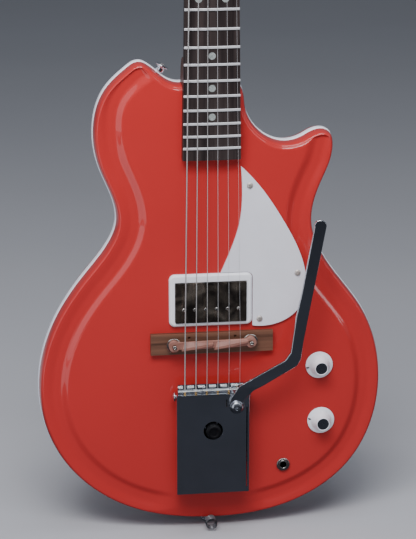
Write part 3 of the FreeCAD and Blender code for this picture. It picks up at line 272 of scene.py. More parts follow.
def wood(name, dark, light, grain, roughness, depth=0.00008, coat=0.0):
    """Straight grain along the neck: long streaks over soft bands."""
    look = Look(name, light, roughness, Coat_Weight=coat)
    streaks = look.noise(grain, 8, (1, 1, 0.025), 0.6)
    look.colours(streaks, [(0.34, dark), (0.66, light)])
    look.rough(look.noise(grain * 2, 6, (1, 1, 0.05)), roughness * 0.85, roughness * 1.2)
    return look.bump(streaks, depth, 0.5)


def cross_wood(name, dark, light, grain, roughness):
    """Straight grain that runs across the body."""
    look = Look(name, light, roughness)
    streaks = look.noise(grain, 8, (0.03, 1, 1), 0.5)
    look.colours(streaks, [(0.32, dark), (0.68, light)])
    look.rough(look.noise(grain * 2, 6, (0.06, 1, 1)), roughness * 0.85, roughness * 1.2)
    return look.bump(streaks, 0.0001, 0.6)


def pearl():
    look = Look("pearl", (0.34, 0.40, 0.38), 0.25, Coat_Weight=0.5)
    swirl = look.noise(260, 4, distortion=2.5)
    look.colours(swirl, [(0.3, (0.22, 0.25, 0.24)), (0.55, (0.32, 0.35, 0.34)),
                         (0.75, (0.42, 0.43, 0.41))])
    return look.rough(swirl, 0.18, 0.34)


def bone():
    look = Look("bone", (0.72, 0.66, 0.52), 0.4)
    return look.mottle(look.noise(300, 5, (1, 1, 0.3)), 0.88, 1.05).rough(look.noise(400, 3), 0.35, 0.5)


def wound_wire():
    """Round-wound string: fine turns across its length."""
    look = Look("wound_wire", (0.68, 0.67, 0.66), 0.42, 0.6)
    turns = look.waves(520, "Z")
    # the colour is darker in the grooves between the turns and a little lighter on their crests: painted
    # shade and painted highlight
    look.mottle(turns, 0.6, 1.1).rough(look.noise(300, 4), 0.36, 0.5)
    return look.bump(turns, 0.0001, 0.8)


def enamel_wire():
    look = Look("enamel_wire", (0.35, 0.12, 0.05), 0.4, 0.6)
    turns = look.waves(900, "Y")
    # the colour is darker between the turns and lighter on them: painted shade and painted highlight
    return look.mottle(turns, 0.6, 1.2).bump(turns, 0.0001, 0.6)


def sleeve_wire():
    look = Look("sleeve_wire", (0.02, 0.02, 0.022), 0.55)
    weave = look.waves(700, "DIAGONAL")
    # the colour is darker in the weave's hollows and lighter on its ridges: painted shade and painted
    # highlight
    return look.mottle(weave, 0.7, 1.3).bump(weave, 0.00008, 0.6)


LOOKS = {
    "red_shell": red_gelcoat(),
    "white_vinyl": white_vinyl(),
    "white_plastic": white_plastic("white_plastic", (0.80, 0.80, 0.86), 1.03),
    "black_plastic": black_plastic(),
    "cream_plastic": cream_plastic(),
    "chrome": polished("chrome", (0.74, 0.76, 0.80), 0.05, 0.10),
    "nickel": polished("nickel", (0.66, 0.63, 0.58), 0.16, 0.28),
    "spring_steel": polished("spring_steel", (0.38, 0.38, 0.40), 0.25, 0.4),
    "string_wire": polished("string_wire", (0.78, 0.78, 0.79), 0.36, 0.46, 0.65),
    # a lighter copy of the white plastic for the pickup ring and the knobs: painted light, as their tops
    # catch the light from above
    "lit_white_plastic": white_plastic("lit_white_plastic", (0.93, 0.94, 0.99), 1.0),
    "rail_metal": polished("rail_metal", (0.64, 0.67, 0.66), 0.24, 0.34, 0.85),
    "aluminium": polished("aluminium", (0.60, 0.61, 0.62), 0.3, 0.42),
    "brass": polished("brass", (0.78, 0.52, 0.22), 0.18, 0.3),
    "copper_wire": enamel_wire(),
    "magnet": polished("magnet", (0.22, 0.22, 0.23), 0.4, 0.55),
    "maple": wood("maple", (0.42, 0.25, 0.11), (0.62, 0.42, 0.22), 90, 0.5),
    "neck_wood": wood("neck_wood", (0.050, 0.020, 0.013), (0.10, 0.042, 0.026), 110, 0.5, 0.00003, 0.1),
    "fret_metal": polished("fret_metal", (0.95, 0.95, 0.97), 0.34, 0.44, 0.5),
    "screw_metal": polished("screw_metal", (0.78, 0.72, 0.66), 0.36, 0.5, 0.75),
    "cap_black": cap_black(),
    "chrome_painted_reflections": chrome_painted_reflections(),
    "dark_chrome": polished("dark_chrome", (0.50, 0.52, 0.56), 0.16, 0.28),
    "fingerboard_wood": wood("fingerboard_wood", (0.014, 0.009, 0.009), (0.046, 0.033, 0.031), 240, 0.46),
    "rosewood": cross_wood("rosewood", (0.066, 0.029, 0.018), (0.21, 0.094, 0.056), 160, 0.45),
    "saddle_wood": cross_wood("saddle_wood", (0.24, 0.105, 0.078), (0.44, 0.215, 0.17), 150, 0.42),
    "pearl": pearl(),
    "bone": bone(),
    "wire_jacket": sleeve_wire(),
    "wound_wire": wound_wire(),
}


# ---------------------------------------------------------------- mesh helpers

def piece(name, bm, look, body, stands_for=(), smooth=SHARP_ANGLE, weighted=True):
    """Finishes a mesh as a piece that rides on a body and stands for CAD nodes."""
    mesh = bpy.data.meshes.new(name)
    bm.normal_update()
    bm.to_mesh(mesh)
    bm.free()
    mesh.polygons.foreach_set("use_smooth", [True] * len(mesh.polygons))
    mesh.set_sharp_from_angle(angle=math.radians(smooth))
    mesh.materials.append(LOOKS[look].material)
    made = bpy.data.objects.new(name, mesh)
    bpy.context.scene.collection.objects.link(made)
    if weighted:
        made.modifiers.new("even_normals", "WEIGHTED_NORMAL").keep_sharp = True
    if stands_for:
        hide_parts(*stands_for)
    if body:
        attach(made, body)
    return made


def crisp_edges(bm, angle):
    return [edge for edge in bm.edges
            if len(edge.link_faces) == 2 and edge.calc_face_angle(0) > math.radians(angle)]


def refined(node, look, width=0.4, segments=2, crease=30.0, clamp=True):
    """Copy of a CAD node with eased edges, which stands for it."""
    bm = bmesh.new()
    bm.from_mesh(frame["nodes"][node].data)
    bmesh.ops.remove_doubles(bm, verts=bm.verts, dist=MERGE)
    bmesh.ops.dissolve_limit(bm, angle_limit=math.radians(0.5), verts=bm.verts, edges=bm.edges)
    bmesh.ops.bevel(bm, geom=crisp_edges(bm, crease), offset=width * MM, segments=segments,
                    profile=0.5, affect="EDGES", clamp_overlap=clamp)
    return piece(node + "_detailed", bm, look, BODY_OF[node], (node,))


def eased(profile, radius, parts=4):
    """The profile with its inner corners rounded."""
    points = [Vector(point) for point in profile]
    result = [points[0]]
    for before, corner, after in zip(points, points[1:], points[2:]):
        reach = [min(radius, (other - corner).length * 0.45) for other in (before, after)]
        start = corner + (before - corner).normalized() * reach[0]
        end = corner + (after - corner).normalized() * reach[1]
        for step in range(parts + 1):
            share = step / parts
            result.append(start * (1 - share) ** 2 + corner * 2 * share * (1 - share) + end * share ** 2)
    return result + [points[-1]]


def lathe(profile, place, steps=96, ripple=None):
    """Surface turned round the place's z axis from (radius, height) points in millimetres."""
    bm = bmesh.new()
    rings = []
    for radius, height in profile:
        if radius < 1e-6:
            rings.append([bm.verts.new(place @ Vector((0, 0, height)))])
            continue
        loop = []
        for step in range(steps):
            turn = 2 * math.pi * step / steps
            reach = radius + (ripple(turn, radius) if ripple else 0)
            corner = Vector((reach * math.cos(turn), reach * math.sin(turn), height))
            loop.append(bm.verts.new(place @ corner))
        rings.append(loop)
    for low, high in zip(rings, rings[1:]):
        for step in range(steps):
            following = (step + 1) % steps
            corners = [low[step % len(low)], low[following % len(low)],
                       high[following % len(high)], high[step % len(high)]]
            unique = list(dict.fromkeys(corners))
            if len(unique) > 2:
                bm.faces.new(unique)
    bmesh.ops.recalc_face_normals(bm, faces=bm.faces)
    return bm


def brick(place, x, y, z):
    """Box mesh between pairs of local millimetre coordinates."""
    bm = bmesh.new()
    bmesh.ops.create_cube(bm, size=1.0)
    for vertex in bm.verts:
        share = vertex.co + Vector((0.5, 0.5, 0.5))
        corner = [low + (high - low) * part for (low, high), part in zip((x, y, z), share)]
        vertex.co = place @ Vector(corner)
    bmesh.ops.recalc_face_normals(bm, faces=bm.faces)
    return bm


def carve(made, cutters):
    """Cuts closed meshes, which don't cross each other, out of a piece."""
    tool_mesh = bpy.data.meshes.new("cutter")
    joined = bmesh.new()
    for cutter in cutters:
        part = bpy.data.meshes.new("part")
        cutter.to_mesh(part)
        cutter.free()
        joined.from_mesh(part)
        bpy.data.meshes.remove(part)
    joined.to_mesh(tool_mesh)
    joined.free()
    tool = bpy.data.objects.new("cutter", tool_mesh)
    bpy.context.scene.collection.objects.link(tool)
    change = made.modifiers.new("carve", "BOOLEAN")
    change.operation, change.object, change.solver = "DIFFERENCE", tool, "EXACT"
    made.modifiers.move(len(made.modifiers) - 1, 0)
    bpy.context.view_layer.update()
    evaluated = made.evaluated_get(bpy.context.evaluated_depsgraph_get())
    carved = bpy.data.meshes.new_from_object(evaluated)
    made.modifiers.remove(change)
    made.data = carved
    carved.set_sharp_from_angle(angle=math.radians(SHARP_ANGLE))
    bpy.data.objects.remove(tool)
    return made


def cross_screw(name, place, radius, height, body):
    """Domed screw head with a cross recess."""
    skirt = 0.25
    dome = [(0, 0)] + [(radius * math.cos(turn), skirt + (height - skirt) * math.sin(turn))
                       for turn in np.linspace(0, math.pi / 2, 9)[:-1]] + [(0, height)]
    made = piece(name, lathe(dome, place, 48), "screw_metal", body)
    half, reach, low = radius * 0.13, radius * 0.55, height * 0.35
    carve(made, [brick(place, (-reach, reach), (-half, half), (low, height + 1))])
    return carve(made, [brick(place, (-half, half), (-reach, reach), (low, height + 1))])


# ---------------------------------------------------------------- the body's outline

def loop_at(node, height):
    """The node's corner points at one height out of the face, chained into a closed loop."""
    points = {(round(v.co.x / MM, 2), round(v.co.z / MM, 2)) for v in frame["nodes"][node].data.vertices
              if abs(FACE - v.co.y / MM - height) < 0.02}
    left = [np.array(point) for point in sorted(points)]
    chain = [left.pop(0)]
    while left:
        closest = min(range(len(left)), key=lambda index: np.sum((left[index] - chain[-1]) ** 2))
        chain.append(left.pop(closest))
    return np.array(chain)


def closed_spline(points, count):
    """Evenly spaced points on the smooth closed curve through the given points."""
    total = len(points)
    step = np.linalg.norm(np.roll(points, -1, 0) - points, axis=1)
    before = np.roll(step, 1)
    rows = np.arange(total)
    system = np.zeros((total, total))
    system[rows, rows] = 2 * (before + step)
    system[rows, (rows - 1) % total] = before
    system[rows, (rows + 1) % total] = step
    rise = (np.roll(points, -1, 0) - points) / step[:, None]
    bend = np.linalg.solve(system, 6 * (rise - np.roll(rise, 1, 0)))
    dense, parts = [], 8
    for share in np.arange(parts) / parts:
        far, near = share, 1 - share
        square = (step ** 2)[:, None] / 6
        dense.append(near * points + far * np.roll(points, -1, 0)
                     + square * ((near ** 3 - near) * bend + (far ** 3 - far) * np.roll(bend, -1, 0)))
    curve = np.stack(dense, 1).reshape(-1, 2)
    curve = np.vstack([curve, curve[:1]])
    length = np.concatenate([[0], np.cumsum(np.linalg.norm(np.diff(curve, axis=0), axis=1))])
    even = np.linspace(0, length[-1], count, endpoint=False)
    return np.stack([np.interp(even, length, curve[:, axis]) for axis in range(2)], 1)


SAMPLES = 960
BINDING_EDGE = -16.2
edge_points = closed_spline(loop_at("body_binding", BINDING_EDGE), SAMPLES)
ahead = np.roll(edge_points, -1, 0)
if np.sum(edge_points[:, 0] * ahead[:, 1] - ahead[:, 0] * edge_points[:, 1]) < 0:
    edge_points = edge_points[::-1].copy()
edge_tangents = np.roll(edge_points, -1, 0) - np.roll(edge_points, 1, 0)
edge_tangents /= np.linalg.norm(edge_tangents, axis=1)[:, None]
edge_normals = np.stack([-edge_tangents[:, 1], edge_tangents[:, 0]], 1)


def sample_near(x, up):
    return int(np.argmin(np.sum((edge_points - (x, up)) ** 2, axis=1)))


def tree_of(points):
    tree = KDTree(len(points))
    for index, point in enumerate(points):
        tree.insert((*point, 0), index)
    tree.balance()
    return tree


def nearest(tree, points):
    """Index of the nearest tree point and the distance to it, for each point."""
    found = [tree.find((*point, 0)) for point in points]
    return np.array([hit[1] for hit in found]), np.array([hit[2] for hit in found])


edge_tree = tree_of(edge_points)


def inset_of(points):
    """Distance of each point in from the outline, negative outside."""
    index, _ = nearest(edge_tree, points)
    return np.sum((points - edge_points[index]) * edge_normals[index], axis=1)


def smoothstep(low, high, value):
    share = np.clip((value - low) / (high - low), 0, 1)
    return share * share * (3 - 2 * share)


LEDGE = 1.4
CHANNEL_DEPTH = 3.1
CHANNEL_MIDDLE = 17.9
# Where the wall's top and foot and the slope's foot and top lie, across the channel's middle line.
LEFT_TIP_PROFILE = (-14.5, -12.8, -3.9, 3.2)
RIGHT_TIP_PROFILE = (-13.4, -5.0, 0.5, 11.0)
FAR_PROFILE = (-13.4, -2.7, 2.5, 10.2)
TAIL_FADE = 34.0
PROFILE_RUN = 70.0
CRISP_RUN = 8.0
SOFT_RUN = 45.0
END_WALL = 2.0


class Channel:
    """Pressed channel along the outline, with a blunt end near a horn's tip.

    Across it lie the outer wall, the floor and the inner slope. Outside the wall and beyond the end
    the surface stays on the ledge's level, and it fades into the face at the tail.
    """

    def __init__(self, start, end, tail_end, reach, tip_profile, crisp):
        count = (end - start) % SAMPLES
        chosen = [(start + step) % SAMPLES for step in range(count + 1)]
        self.inward = edge_normals[chosen]
        self.line = edge_points[chosen] + self.inward * CHANNEL_MIDDLE
        self.tree = tree_of(self.line)
        self.reach, self.tip_profile = reach, tip_profile
        run = np.concatenate([[0], np.cumsum(np.linalg.norm(np.diff(self.line, axis=0), axis=1))])
        self.from_tail = run if tail_end == "start" else run[-1] - run
        from_tip = run[-1] - self.from_tail
        self.far_share = smoothstep(0, PROFILE_RUN, from_tip)
        self.softness = smoothstep(CRISP_RUN, SOFT_RUN, from_tip) if crisp else np.ones(count + 1)
        self.tip = count if tail_end == "start" else 0
        before = self.tip - 4 if self.tip else 4
        self.ahead = self.line[self.tip] - self.line[before]
        self.ahead /= np.linalg.norm(self.ahead)

    def height(self, points):
        index, _ = nearest(self.tree, points)
        offset = points - self.line[index]
        across = np.sum(offset * self.inward[index], axis=1)
        beyond = np.where(index == self.tip, offset @ self.ahead, 0)
        soft, share = self.softness[index], self.far_share[index]
        wall_top, wall_foot, slope_foot, slope_top = (
            tip + (far - tip) * share for tip, far in zip(self.tip_profile, FAR_PROFILE))
        slope = np.clip((across - slope_foot) / (slope_top - slope_foot), 0, 1)
        wall = np.clip((wall_foot - across) / (wall_foot - wall_top), 0, 1)
        end = np.clip((beyond - self.reach) / END_WALL, 0, 1)
        climb = np.minimum(np.hypot(wall, end), 1)
        climb, slope = (rise * (1 - soft) + smoothstep(0, 1, rise) * soft for rise in (climb, slope))
        fade = smoothstep(0, TAIL_FADE, self.from_tail[index])
        return -fade * (1 - slope) * (CHANNEL_DEPTH - (CHANNEL_DEPTH - LEDGE) * climb)


CHANNELS = [Channel(sample_near(-71.5, 448.3), sample_near(-30, 4), "end", 6.6, LEFT_TIP_PROFILE, True),
            Channel(sample_near(26, 2), sample_near(117, 358), "start", 40, RIGHT_TIP_PROFILE, False)]

# The rim as (inset from the outline, height from the face plane).
WALL = [(0.7, -15), (0.8, -12.5), (1.0, -9.6), (1.3, -7.0), (1.7, -5.1), (2.1, -3.75), (2.5, -2.85),
        (2.85, -2.3), (3.2, -1.95), (3.55, -1.69), (3.9, -1.5), (4.2, -1.42), (4.35, -LEDGE)]
STEP_RISE = [(4.5, -1.25), (4.75, -1.0), (5.1, -0.74), (5.5, -0.47), (5.9, -0.24), (6.3, -0.08), (6.8, 0),
             (8, 0), (9.5, 0)]
SOFT_RISE = [(5, -1.2), (7.5, -0.8), (10, -0.4), (12.5, -0.1), (15, 0)]
RIM = WALL + STEP_RISE
GRID_STEP = 1.4
LEFT_TIP = sample_near(-68, 470)
RIGHT_TIP = sample_near(120, 385)


def neck_side_share():
    """1 for the outline's samples between the horn tips on the neck's side, fading past the tips."""
    steps = np.arange(SAMPLES)
    spacing = np.linalg.norm(edge_points[1] - edge_points[0])
    past_left = ((steps - LEFT_TIP) % SAMPLES) * spacing
    before_right = ((RIGHT_TIP - steps) % SAMPLES) * spacing
    between = (steps - RIGHT_TIP) % SAMPLES <= (LEFT_TIP - RIGHT_TIP) % SAMPLES
    fade = np.maximum(1 - smoothstep(10, 45, past_left), 1 - smoothstep(0, 10, before_right))
    return np.where(between, 1.0, fade)


STEP_SHARE = neck_side_share()


def rim_height(inset, share):
    crisp = np.interp(inset, [d for d, _ in RIM], [h for _, h in RIM])
    loose = WALL + SOFT_RISE
    soft = np.interp(inset, [d for d, _ in loose], [h for _, h in loose])
    return crisp * share + soft * (1 - share)


def face_height(points, inset, share):
    """Height of the front surface from the face plane."""
    base = rim_height(inset, share)
    pressed = np.minimum.reduce([channel.height(points) for channel in CHANNELS])
    return np.where(inset > WALL[-1][0], np.minimum(base, pressed), base)


def inner_height(points):
    index, _ = nearest(edge_tree, points)
    return face_height(points, inset_of(points), STEP_SHARE[index])


def in_neck_slot(points, margin):
    (left, low, _), (right, _, _) = span("fretboard")
    return (np.abs(points[:, 0]) < min(-left, right) - margin) & (points[:, 1] > low + margin)


def ring_points(inset):
    return edge_points + edge_normals * inset


def rim_rings(bm, profile, heights):
    """Quads between rings parallel to the outline, at the profile's insets."""
    previous = None
    for (inset, _), ring_heights in zip(profile, heights):
        flat = ring_points(inset)
        loop = [bm.verts.new(at(x, up, out)) for (x, up), out in zip(flat, ring_heights)]
        if previous:
            for index in range(SAMPLES):
                after = (index + 1) % SAMPLES
                bm.faces.new((previous[index], loop[index], loop[after], previous[after]))
        previous = loop


def filled(bm, inset, inner_points, height_of):
    """Triangles inside the ring at an inset, through inner points."""
    ring = ring_points(inset)
    flat = np.vstack([ring, inner_points]) if len(inner_points) else ring
    edges = [(index, (index + 1) % SAMPLES) for index in range(SAMPLES)]
    found, _, faces, _, _, _ = delaunay_2d_cdt([Vector(point) for point in flat], edges, [], 1, 1e-5)
    found = np.array([(point.x, point.y) for point in found])
    corners = [bm.verts.new(at(x, up, out)) for (x, up), out in zip(found, height_of(found))]
    for face in faces:
        bm.faces.new([corners[index] for index in face])


def grid_inside(inset, spacing):
    low, high = edge_points.min(0), edge_points.max(0)
    xs, ups = (np.arange(low[axis], high[axis], spacing) for axis in range(2))
    grid = np.stack(np.meshgrid(xs, ups), -1).reshape(-1, 2)
    grid[:, 0] += (np.arange(len(grid)) // len(xs) % 2) * spacing / 2
    return grid[inset_of(grid) > inset + spacing * 0.5]


def drop_faces(bm, hidden):
    """Deletes the faces whose corners all pass a test on face coordinates."""
    flat = np.array([(v.co.x / MM, v.co.z / MM) for v in bm.verts])
    gone = hidden(flat)
    bm.verts.index_update()
    doomed = [face for face in bm.faces if all(gone[v.index] for v in face.verts)]
    bmesh.ops.delete(bm, geom=doomed, context="FACES")


def hidden_front(points):
    """Places of the front surface that the neck, the pickup or a bore takes."""
    (left, low, _), (right, high, _) = span("pickup_cover")
    x, up = points[:, 0], points[:, 1]
    hidden = in_neck_slot(points, 1.8)
    hidden |= (x > left) & (x < right) & (up > low) & (up < high)
    for node, radius in (("volume_knob", 4), ("tone_knob", 4), ("output_jack", 5)):
        centre = middle(node)
        hidden |= np.hypot(x - centre[0], up - centre[1]) < radius
    return hidden


def front_shell():
    """Moulded front: the rim's rings, then triangles over the face with its pressed channels."""
    bm = bmesh.new()
    heights = []
    for inset, _ in RIM:
        flat = ring_points(inset)
        heights.append(face_height(flat, np.full(SAMPLES, float(inset)), STEP_SHARE))
    rim_rings(bm, RIM, heights)
    last = RIM[-1][0]
    filled(bm, last, grid_inside(last, GRID_STEP), inner_height)
    bmesh.ops.remove_doubles(bm, verts=bm.verts, dist=WELD)
    drop_faces(bm, hidden_front)
    bmesh.ops.recalc_face_normals(bm, faces=bm.faces)
    return piece("front_shell", bm, "red_shell", "body", ("body_front_shell",), SHELL_SHARP_ANGLE, False)


def back_shell():
    """Moulded back with a plain rounded rim."""
    back = span("body_back_shell")[0][2]
    profile = [(1, -25), (1.2, -29), (1.9, -33), (3.0, -36.6), (4.4, -39.2), (6.2, -41), (8.4, back + 0.2),
               (11, back)]
    bm = bmesh.new()
    rim_rings(bm, profile, [np.full(SAMPLES, height) for _, height in profile])
    filled(bm, profile[-1][0], grid_inside(profile[-1][0], 8), lambda flat: np.full(len(flat), back))
    bmesh.ops.remove_doubles(bm, verts=bm.verts, dist=WELD)
    bmesh.ops.recalc_face_normals(bm, faces=bm.faces)
    return piece("back_shell", bm, "red_shell", "body", ("body_back_shell",), SHELL_SHARP_ANGLE, False)


def gasket():
    """Crowned vinyl strip between the shells."""
    profile = [(4, -15), (1.4, -14.95), (0.6, -15.3), (0.15, -16.4), (0, -18), (0, -22), (0.15, -23.6),
               (0.6, -24.7), (1.4, -25.05), (4, -25)]
    bm = bmesh.new()
    rim_rings(bm, profile, [np.full(SAMPLES, height) for _, height in profile])
    bmesh.ops.recalc_face_normals(bm, faces=bm.faces)
    return piece("gasket", bm, "white_vinyl", "body", ("body_binding",), SHELL_SHARP_ANGLE, False)


front_shell()
back_shell()
gasket()


# ---------------------------------------------------------------- neck

refined("neck", "neck_wood", 1.2, 3)
refined("fretboard", "fingerboard_wood", 0.35)
refined("frets", "fret_metal", 0.45, 3)
refined("inlay_dots", "pearl", 0.08)
refined("string_nut", "bone", 0.25)
refined("truss_rod_cover", "black_plastic", 0.4)
refined("neck_plate", "chrome", 0.6, 3)
refined("strap_buttons", "chrome", 0.5, 3)
refined("small_wood_screws", "screw_metal", 0.2)
refined("neck_screws", "nickel", 0.3)

GUARD_SCREW_RISE, GUARD_SCREW_DEPTH = 1.5, 9
GUARD_LOW, GUARD_HIGH = 150, 400


def screw_heads():
    """Cross-recessed heads over the pickguard's screws and the neck plate's."""
    guard_top = span("pickguard")[1][2]
    number = 0
    for low, high in islands("small_wood_screws"):
        x, up = (low[0] + high[0]) / 2, (low[1] + high[1]) / 2
        on_guard = low[2] > -GUARD_SCREW_DEPTH and up > GUARD_LOW and high[1] < GUARD_HIGH
        if on_guard and abs(high[2] - guard_top - GUARD_SCREW_RISE) < 0.2:
            number += 1
            cross_screw(f"guard_screw_{number}", facing(x, up, guard_top), 3.0, 1.75, "body")
    back = span("neck_plate")[0][2]
    for number, (low, high) in enumerate(islands("neck_screws"), start=1):
        x, up = (low[0] + high[0]) / 2, (low[1] + high[1]) / 2
        cross_screw(f"neck_screw_head_{number}", facing_back(x, up, back), 4.4, 3.0, "body")


screw_heads()


# ---------------------------------------------------------------- pickguard and pickup

refined("pickguard", "white_plastic", 0.8, 3)
refined("pickup_ring", "lit_white_plastic", 1.1, 4)
refined("pickup_cover", "chrome_painted_reflections", 1.0, 4, 60)


def pole_screws():
    top = span("pickup_pole_screws")[1][2]
    for number, (low, high) in enumerate(islands("pickup_pole_screws"), start=1):
        x, up = (low[0] + high[0]) / 2, (low[1] + high[1]) / 2
        head = [(0, -1.6), (1.85, -1.6), (1.85, -0.5), (1.5, -0.12), (0.9, 0), (0, 0)]
        made = piece(f"pole_screw_{number}", lathe(eased(head, 0.2), facing(x, up, top + 0.1), 40),
                     "nickel", "body", ("pickup_pole_screws",))
        place = facing(x, up, top) @ Matrix.Rotation(0.5 * number, 4, "Z")
        carve(made, [brick(place, (-3, 3), (-0.22, 0.22), (-0.45, 1))])


pole_screws()


# ---------------------------------------------------------------- bridge

def bridge_base():
    """Wooden base with two blind holes along its upper edge."""
    made = refined("bridge_base", "rosewood", 0.7, 3)
    (_, low, _), (_, high, top) = span("bridge_base")
    line = low + (high - low) * 0.8
    radius, floor_height = 1.3, top - 2.5
    hole = [(0, floor_height), (radius, floor_height), (radius, top + 1), (0, top + 1)]
    for x in (-21, 23):
        carve(made, [lathe(hole, facing(x, line), 24)])


bridge_base()
refined("bridge_saddle", "saddle_wood", 0.25, 2)


def knurl(count, depth):
    """Ripple for a lathe: ribs round its wide parts."""
    def ripple(turn, radius):
        return -depth * abs(math.sin(count * turn / 2)) if radius > 6 else 0
    return ripple


def thumbwheel(side):
    node = f"thumbwheel_{side}"
    low, high = span(node)
    x, up, _ = middle(node)
    radius, bottom, top = (high[0] - low[0]) / 2, low[2], high[2]
    rim = [(2.1, bottom), (radius - 0.4, bottom), (radius, bottom + 0.4), (radius, top - 0.4),
           (radius - 0.4, top), (4, top + 0.02), (2.1, top)]
    wheel = lathe(rim, facing(x, up), 144, knurl(36, 0.35))
    piece(node + "_knurled", wheel, "nickel", BODY_OF[node], (node,))


STUD_FOOT, THREAD_PITCH, THREAD_DEPTH = 0.2, 0.7, 0.22


def bridge_studs():
    """Threaded posts with domed, slotted tops."""
    for number, (low, high) in enumerate(islands("bridge_studs"), start=1):
        x, up, top = (low[0] + high[0]) / 2, (low[1] + high[1]) / 2, high[2]
        radius = (high[0] - low[0]) / 2
        threads, height = [(0, STUD_FOOT)], STUD_FOOT
        while height < top - 2.4:
            threads += [(radius, height), (radius - THREAD_DEPTH, height + THREAD_PITCH / 2)]
            height += THREAD_PITCH
        cap = eased([(radius, height), (radius, top - 0.3), (0, top)], 0.8)
        made = piece(f"bridge_stud_{number}", lathe(threads + [tuple(p) for p in cap], facing(x, up), 40),
                     "nickel", "body", ("bridge_studs",), 50)
        carve(made, [brick(facing(x, up, top), (-3, 3), (-0.3, 0.3), (-0.9, 1))])


for wheel_side in ("bass", "treble"):
    thumbwheel(wheel_side)
bridge_studs()


# ---------------------------------------------------------------- vibrato

BRIDGE_SPREAD, NUT_SPREAD = 26.3, 17.2
RAIL_BREAK, RAIL_STEP = 4.0, 2.0
UPPER_RAIL_INSET, UPPER_RAIL_RADIUS, UPPER_RAIL_DEPTH = 2.2, 0.9, 1.0
LOWER_RAIL_INSET, LOWER_RAIL_RADIUS = 2.6, 0.55


def vibrato_plate():
    """Folded plate: an open gap beside the treble fold, a shallow line by the other, a slit by the arm."""
    made = refined("vibrato_plate", "chrome", 0.25, 2, 50)
    (left, low, _), (right, high, top) = span("vibrato_plate")
    place = facing(0, 0)
    above, shallow, through = top + 1, top - 0.35, top - 3.5
    gap = brick(place, (right - 3.1, right - 2.1), (low + 5, high - 14), (through, above))
    line = brick(place, (left + 3.4, left + 4.0), (low - 1, high - 3), (shallow, above))
    slit = brick(place, (12.4, 13.3), (high - 13, high - 5.5), (top - 3, above))
    return carve(made, [gap, line, slit])


def hinge_pin():
    """Pin with a domed head at each end."""
    refined("vibrato_hinge_pin", "nickel", 0.5)
    low, high = span("vibrato_hinge_pin")
    _, up, out = middle("vibrato_hinge_pin")
    radius, edge, crown, set_back = 4.7, 1.4, 3.4, 2.2
    for name, x, turn in (("bass", low[0], -1), ("treble", high[0], 1)):
        place = facing(x - turn * set_back, up, out) @ Matrix.Rotation(turn * math.pi / 2, 4, "Y")
        dome = eased([(0, 0), (radius, 0), (radius, edge), (0, crown)], 1.0)
        piece(f"hinge_pin_head_{name}", lathe(dome, place, 40), "chrome", "body")


def anchor_bar():
    """Bar with two rails; the upper one breaks off beside each string."""
    (left, low, bottom), (right, high, top) = span("string_anchor_bar")
    bar = brick(facing(0, 0), (left, right), (low, high), (bottom, top - RAIL_STEP))
    piece("anchor_bar_block", bar, "chrome", "vibrato", ("string_anchor_bar",))
    upper, lower = bmesh.new(), bmesh.new()
    breaks = [left] + [BRIDGE_SPREAD * (index - 2.5) / 2.5 for index in range(6)] + [right]
    for start, end in zip(breaks, breaks[1:]):
        margins = [0 if edge in (left, right) else RAIL_BREAK / 2 for edge in (start, end)]
        ends = (start + margins[0], end - margins[1])
        line = [at(x, high - UPPER_RAIL_INSET, top - UPPER_RAIL_DEPTH) for x in ends]
        wire_tube(upper, line, UPPER_RAIL_RADIUS, 24)
    line = [at(x, low + LOWER_RAIL_INSET, top - LOWER_RAIL_RADIUS) for x in (left, right)]
    wire_tube(lower, line, LOWER_RAIL_RADIUS, 24)
    piece("anchor_rail_upper", upper, "rail_metal", "vibrato")
    piece("anchor_rail_lower", lower, "rail_metal", "vibrato")


def wire_tube(bm, points, radius, sides=12):
    """Round wire through points in metres, closed at both ends."""
    points = [Vector(point) for point in points]
    rings, side = [], None
    for index, point in enumerate(points):
        along = (points[min(index + 1, len(points) - 1)] - points[max(index - 1, 0)]).normalized()
        if side is None:
            side = along.orthogonal()
        side = (side - along * side.dot(along)).normalized()
        other = along.cross(side)
        angles = (2 * math.pi * step / sides for step in range(sides))
        rings.append([bm.verts.new(point + (side * math.cos(a) + other * math.sin(a)) * radius * MM)
                      for a in angles])
    for low, high in zip(rings, rings[1:]):
        for step in range(sides):
            after = (step + 1) % sides
            bm.faces.new((low[step], low[after], high[after], high[step]))
    bm.faces.new(rings[0])
    bm.faces.new(rings[-1])
    bmesh.ops.recalc_face_normals(bm, faces=bm.faces)


def vibrato_spring():
    """Coil between the knob, which stays, and the plate's bracket, which rocks."""
    low, high = span("vibrato_spring")
    x, up, _ = middle("vibrato_spring")
    wire, turns, steps = 0.6, 4, 160
    mean = (high[0] - low[0]) / 2 - wire
    bottom, top = low[2] + wire, high[2] - wire
    path = []
    for step in range(steps + 1):
        turn = 2 * math.pi * turns * step / steps
        path.append(at(x + mean * math.cos(turn), up + mean * math.sin(turn),
                       bottom + (top - bottom) * step / steps))
    bm = bmesh.new()
    wire_tube(bm, path, wire)
    made = piece("vibrato_coil", bm, "spring_steel", None, ("vibrato_spring",), weighted=False)
    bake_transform(made)


def arm_screw():
    """Domed screw that holds the arm, with a six-sided recess."""
    low, high = span("arm_screw")
    x, up, _ = middle("arm_screw")
    head, top = (high[0] - low[0]) / 2, high[2]
    shank, shank_end, seat = 2.4, top - 7.7, top - 3.7
    profile = eased([(0, shank_end), (shank, shank_end), (shank, seat), (head, seat), (head, top - 2.9),
                     (head - 1.6, top - 1.0), (3, top - 0.1), (0, top)], 0.8)
    made = piece("arm_screw_domed", lathe(profile, facing(x, up), 72), "dark_chrome", BODY_OF["arm_screw"],
                 ("arm_screw",), 50)
    depth, radius = -2.2, 2.1
    recess = [(0, depth), (radius, depth), (radius, 1), (0, 1)]
    return carve(made, [lathe(recess, facing(x, up, top), 6)])


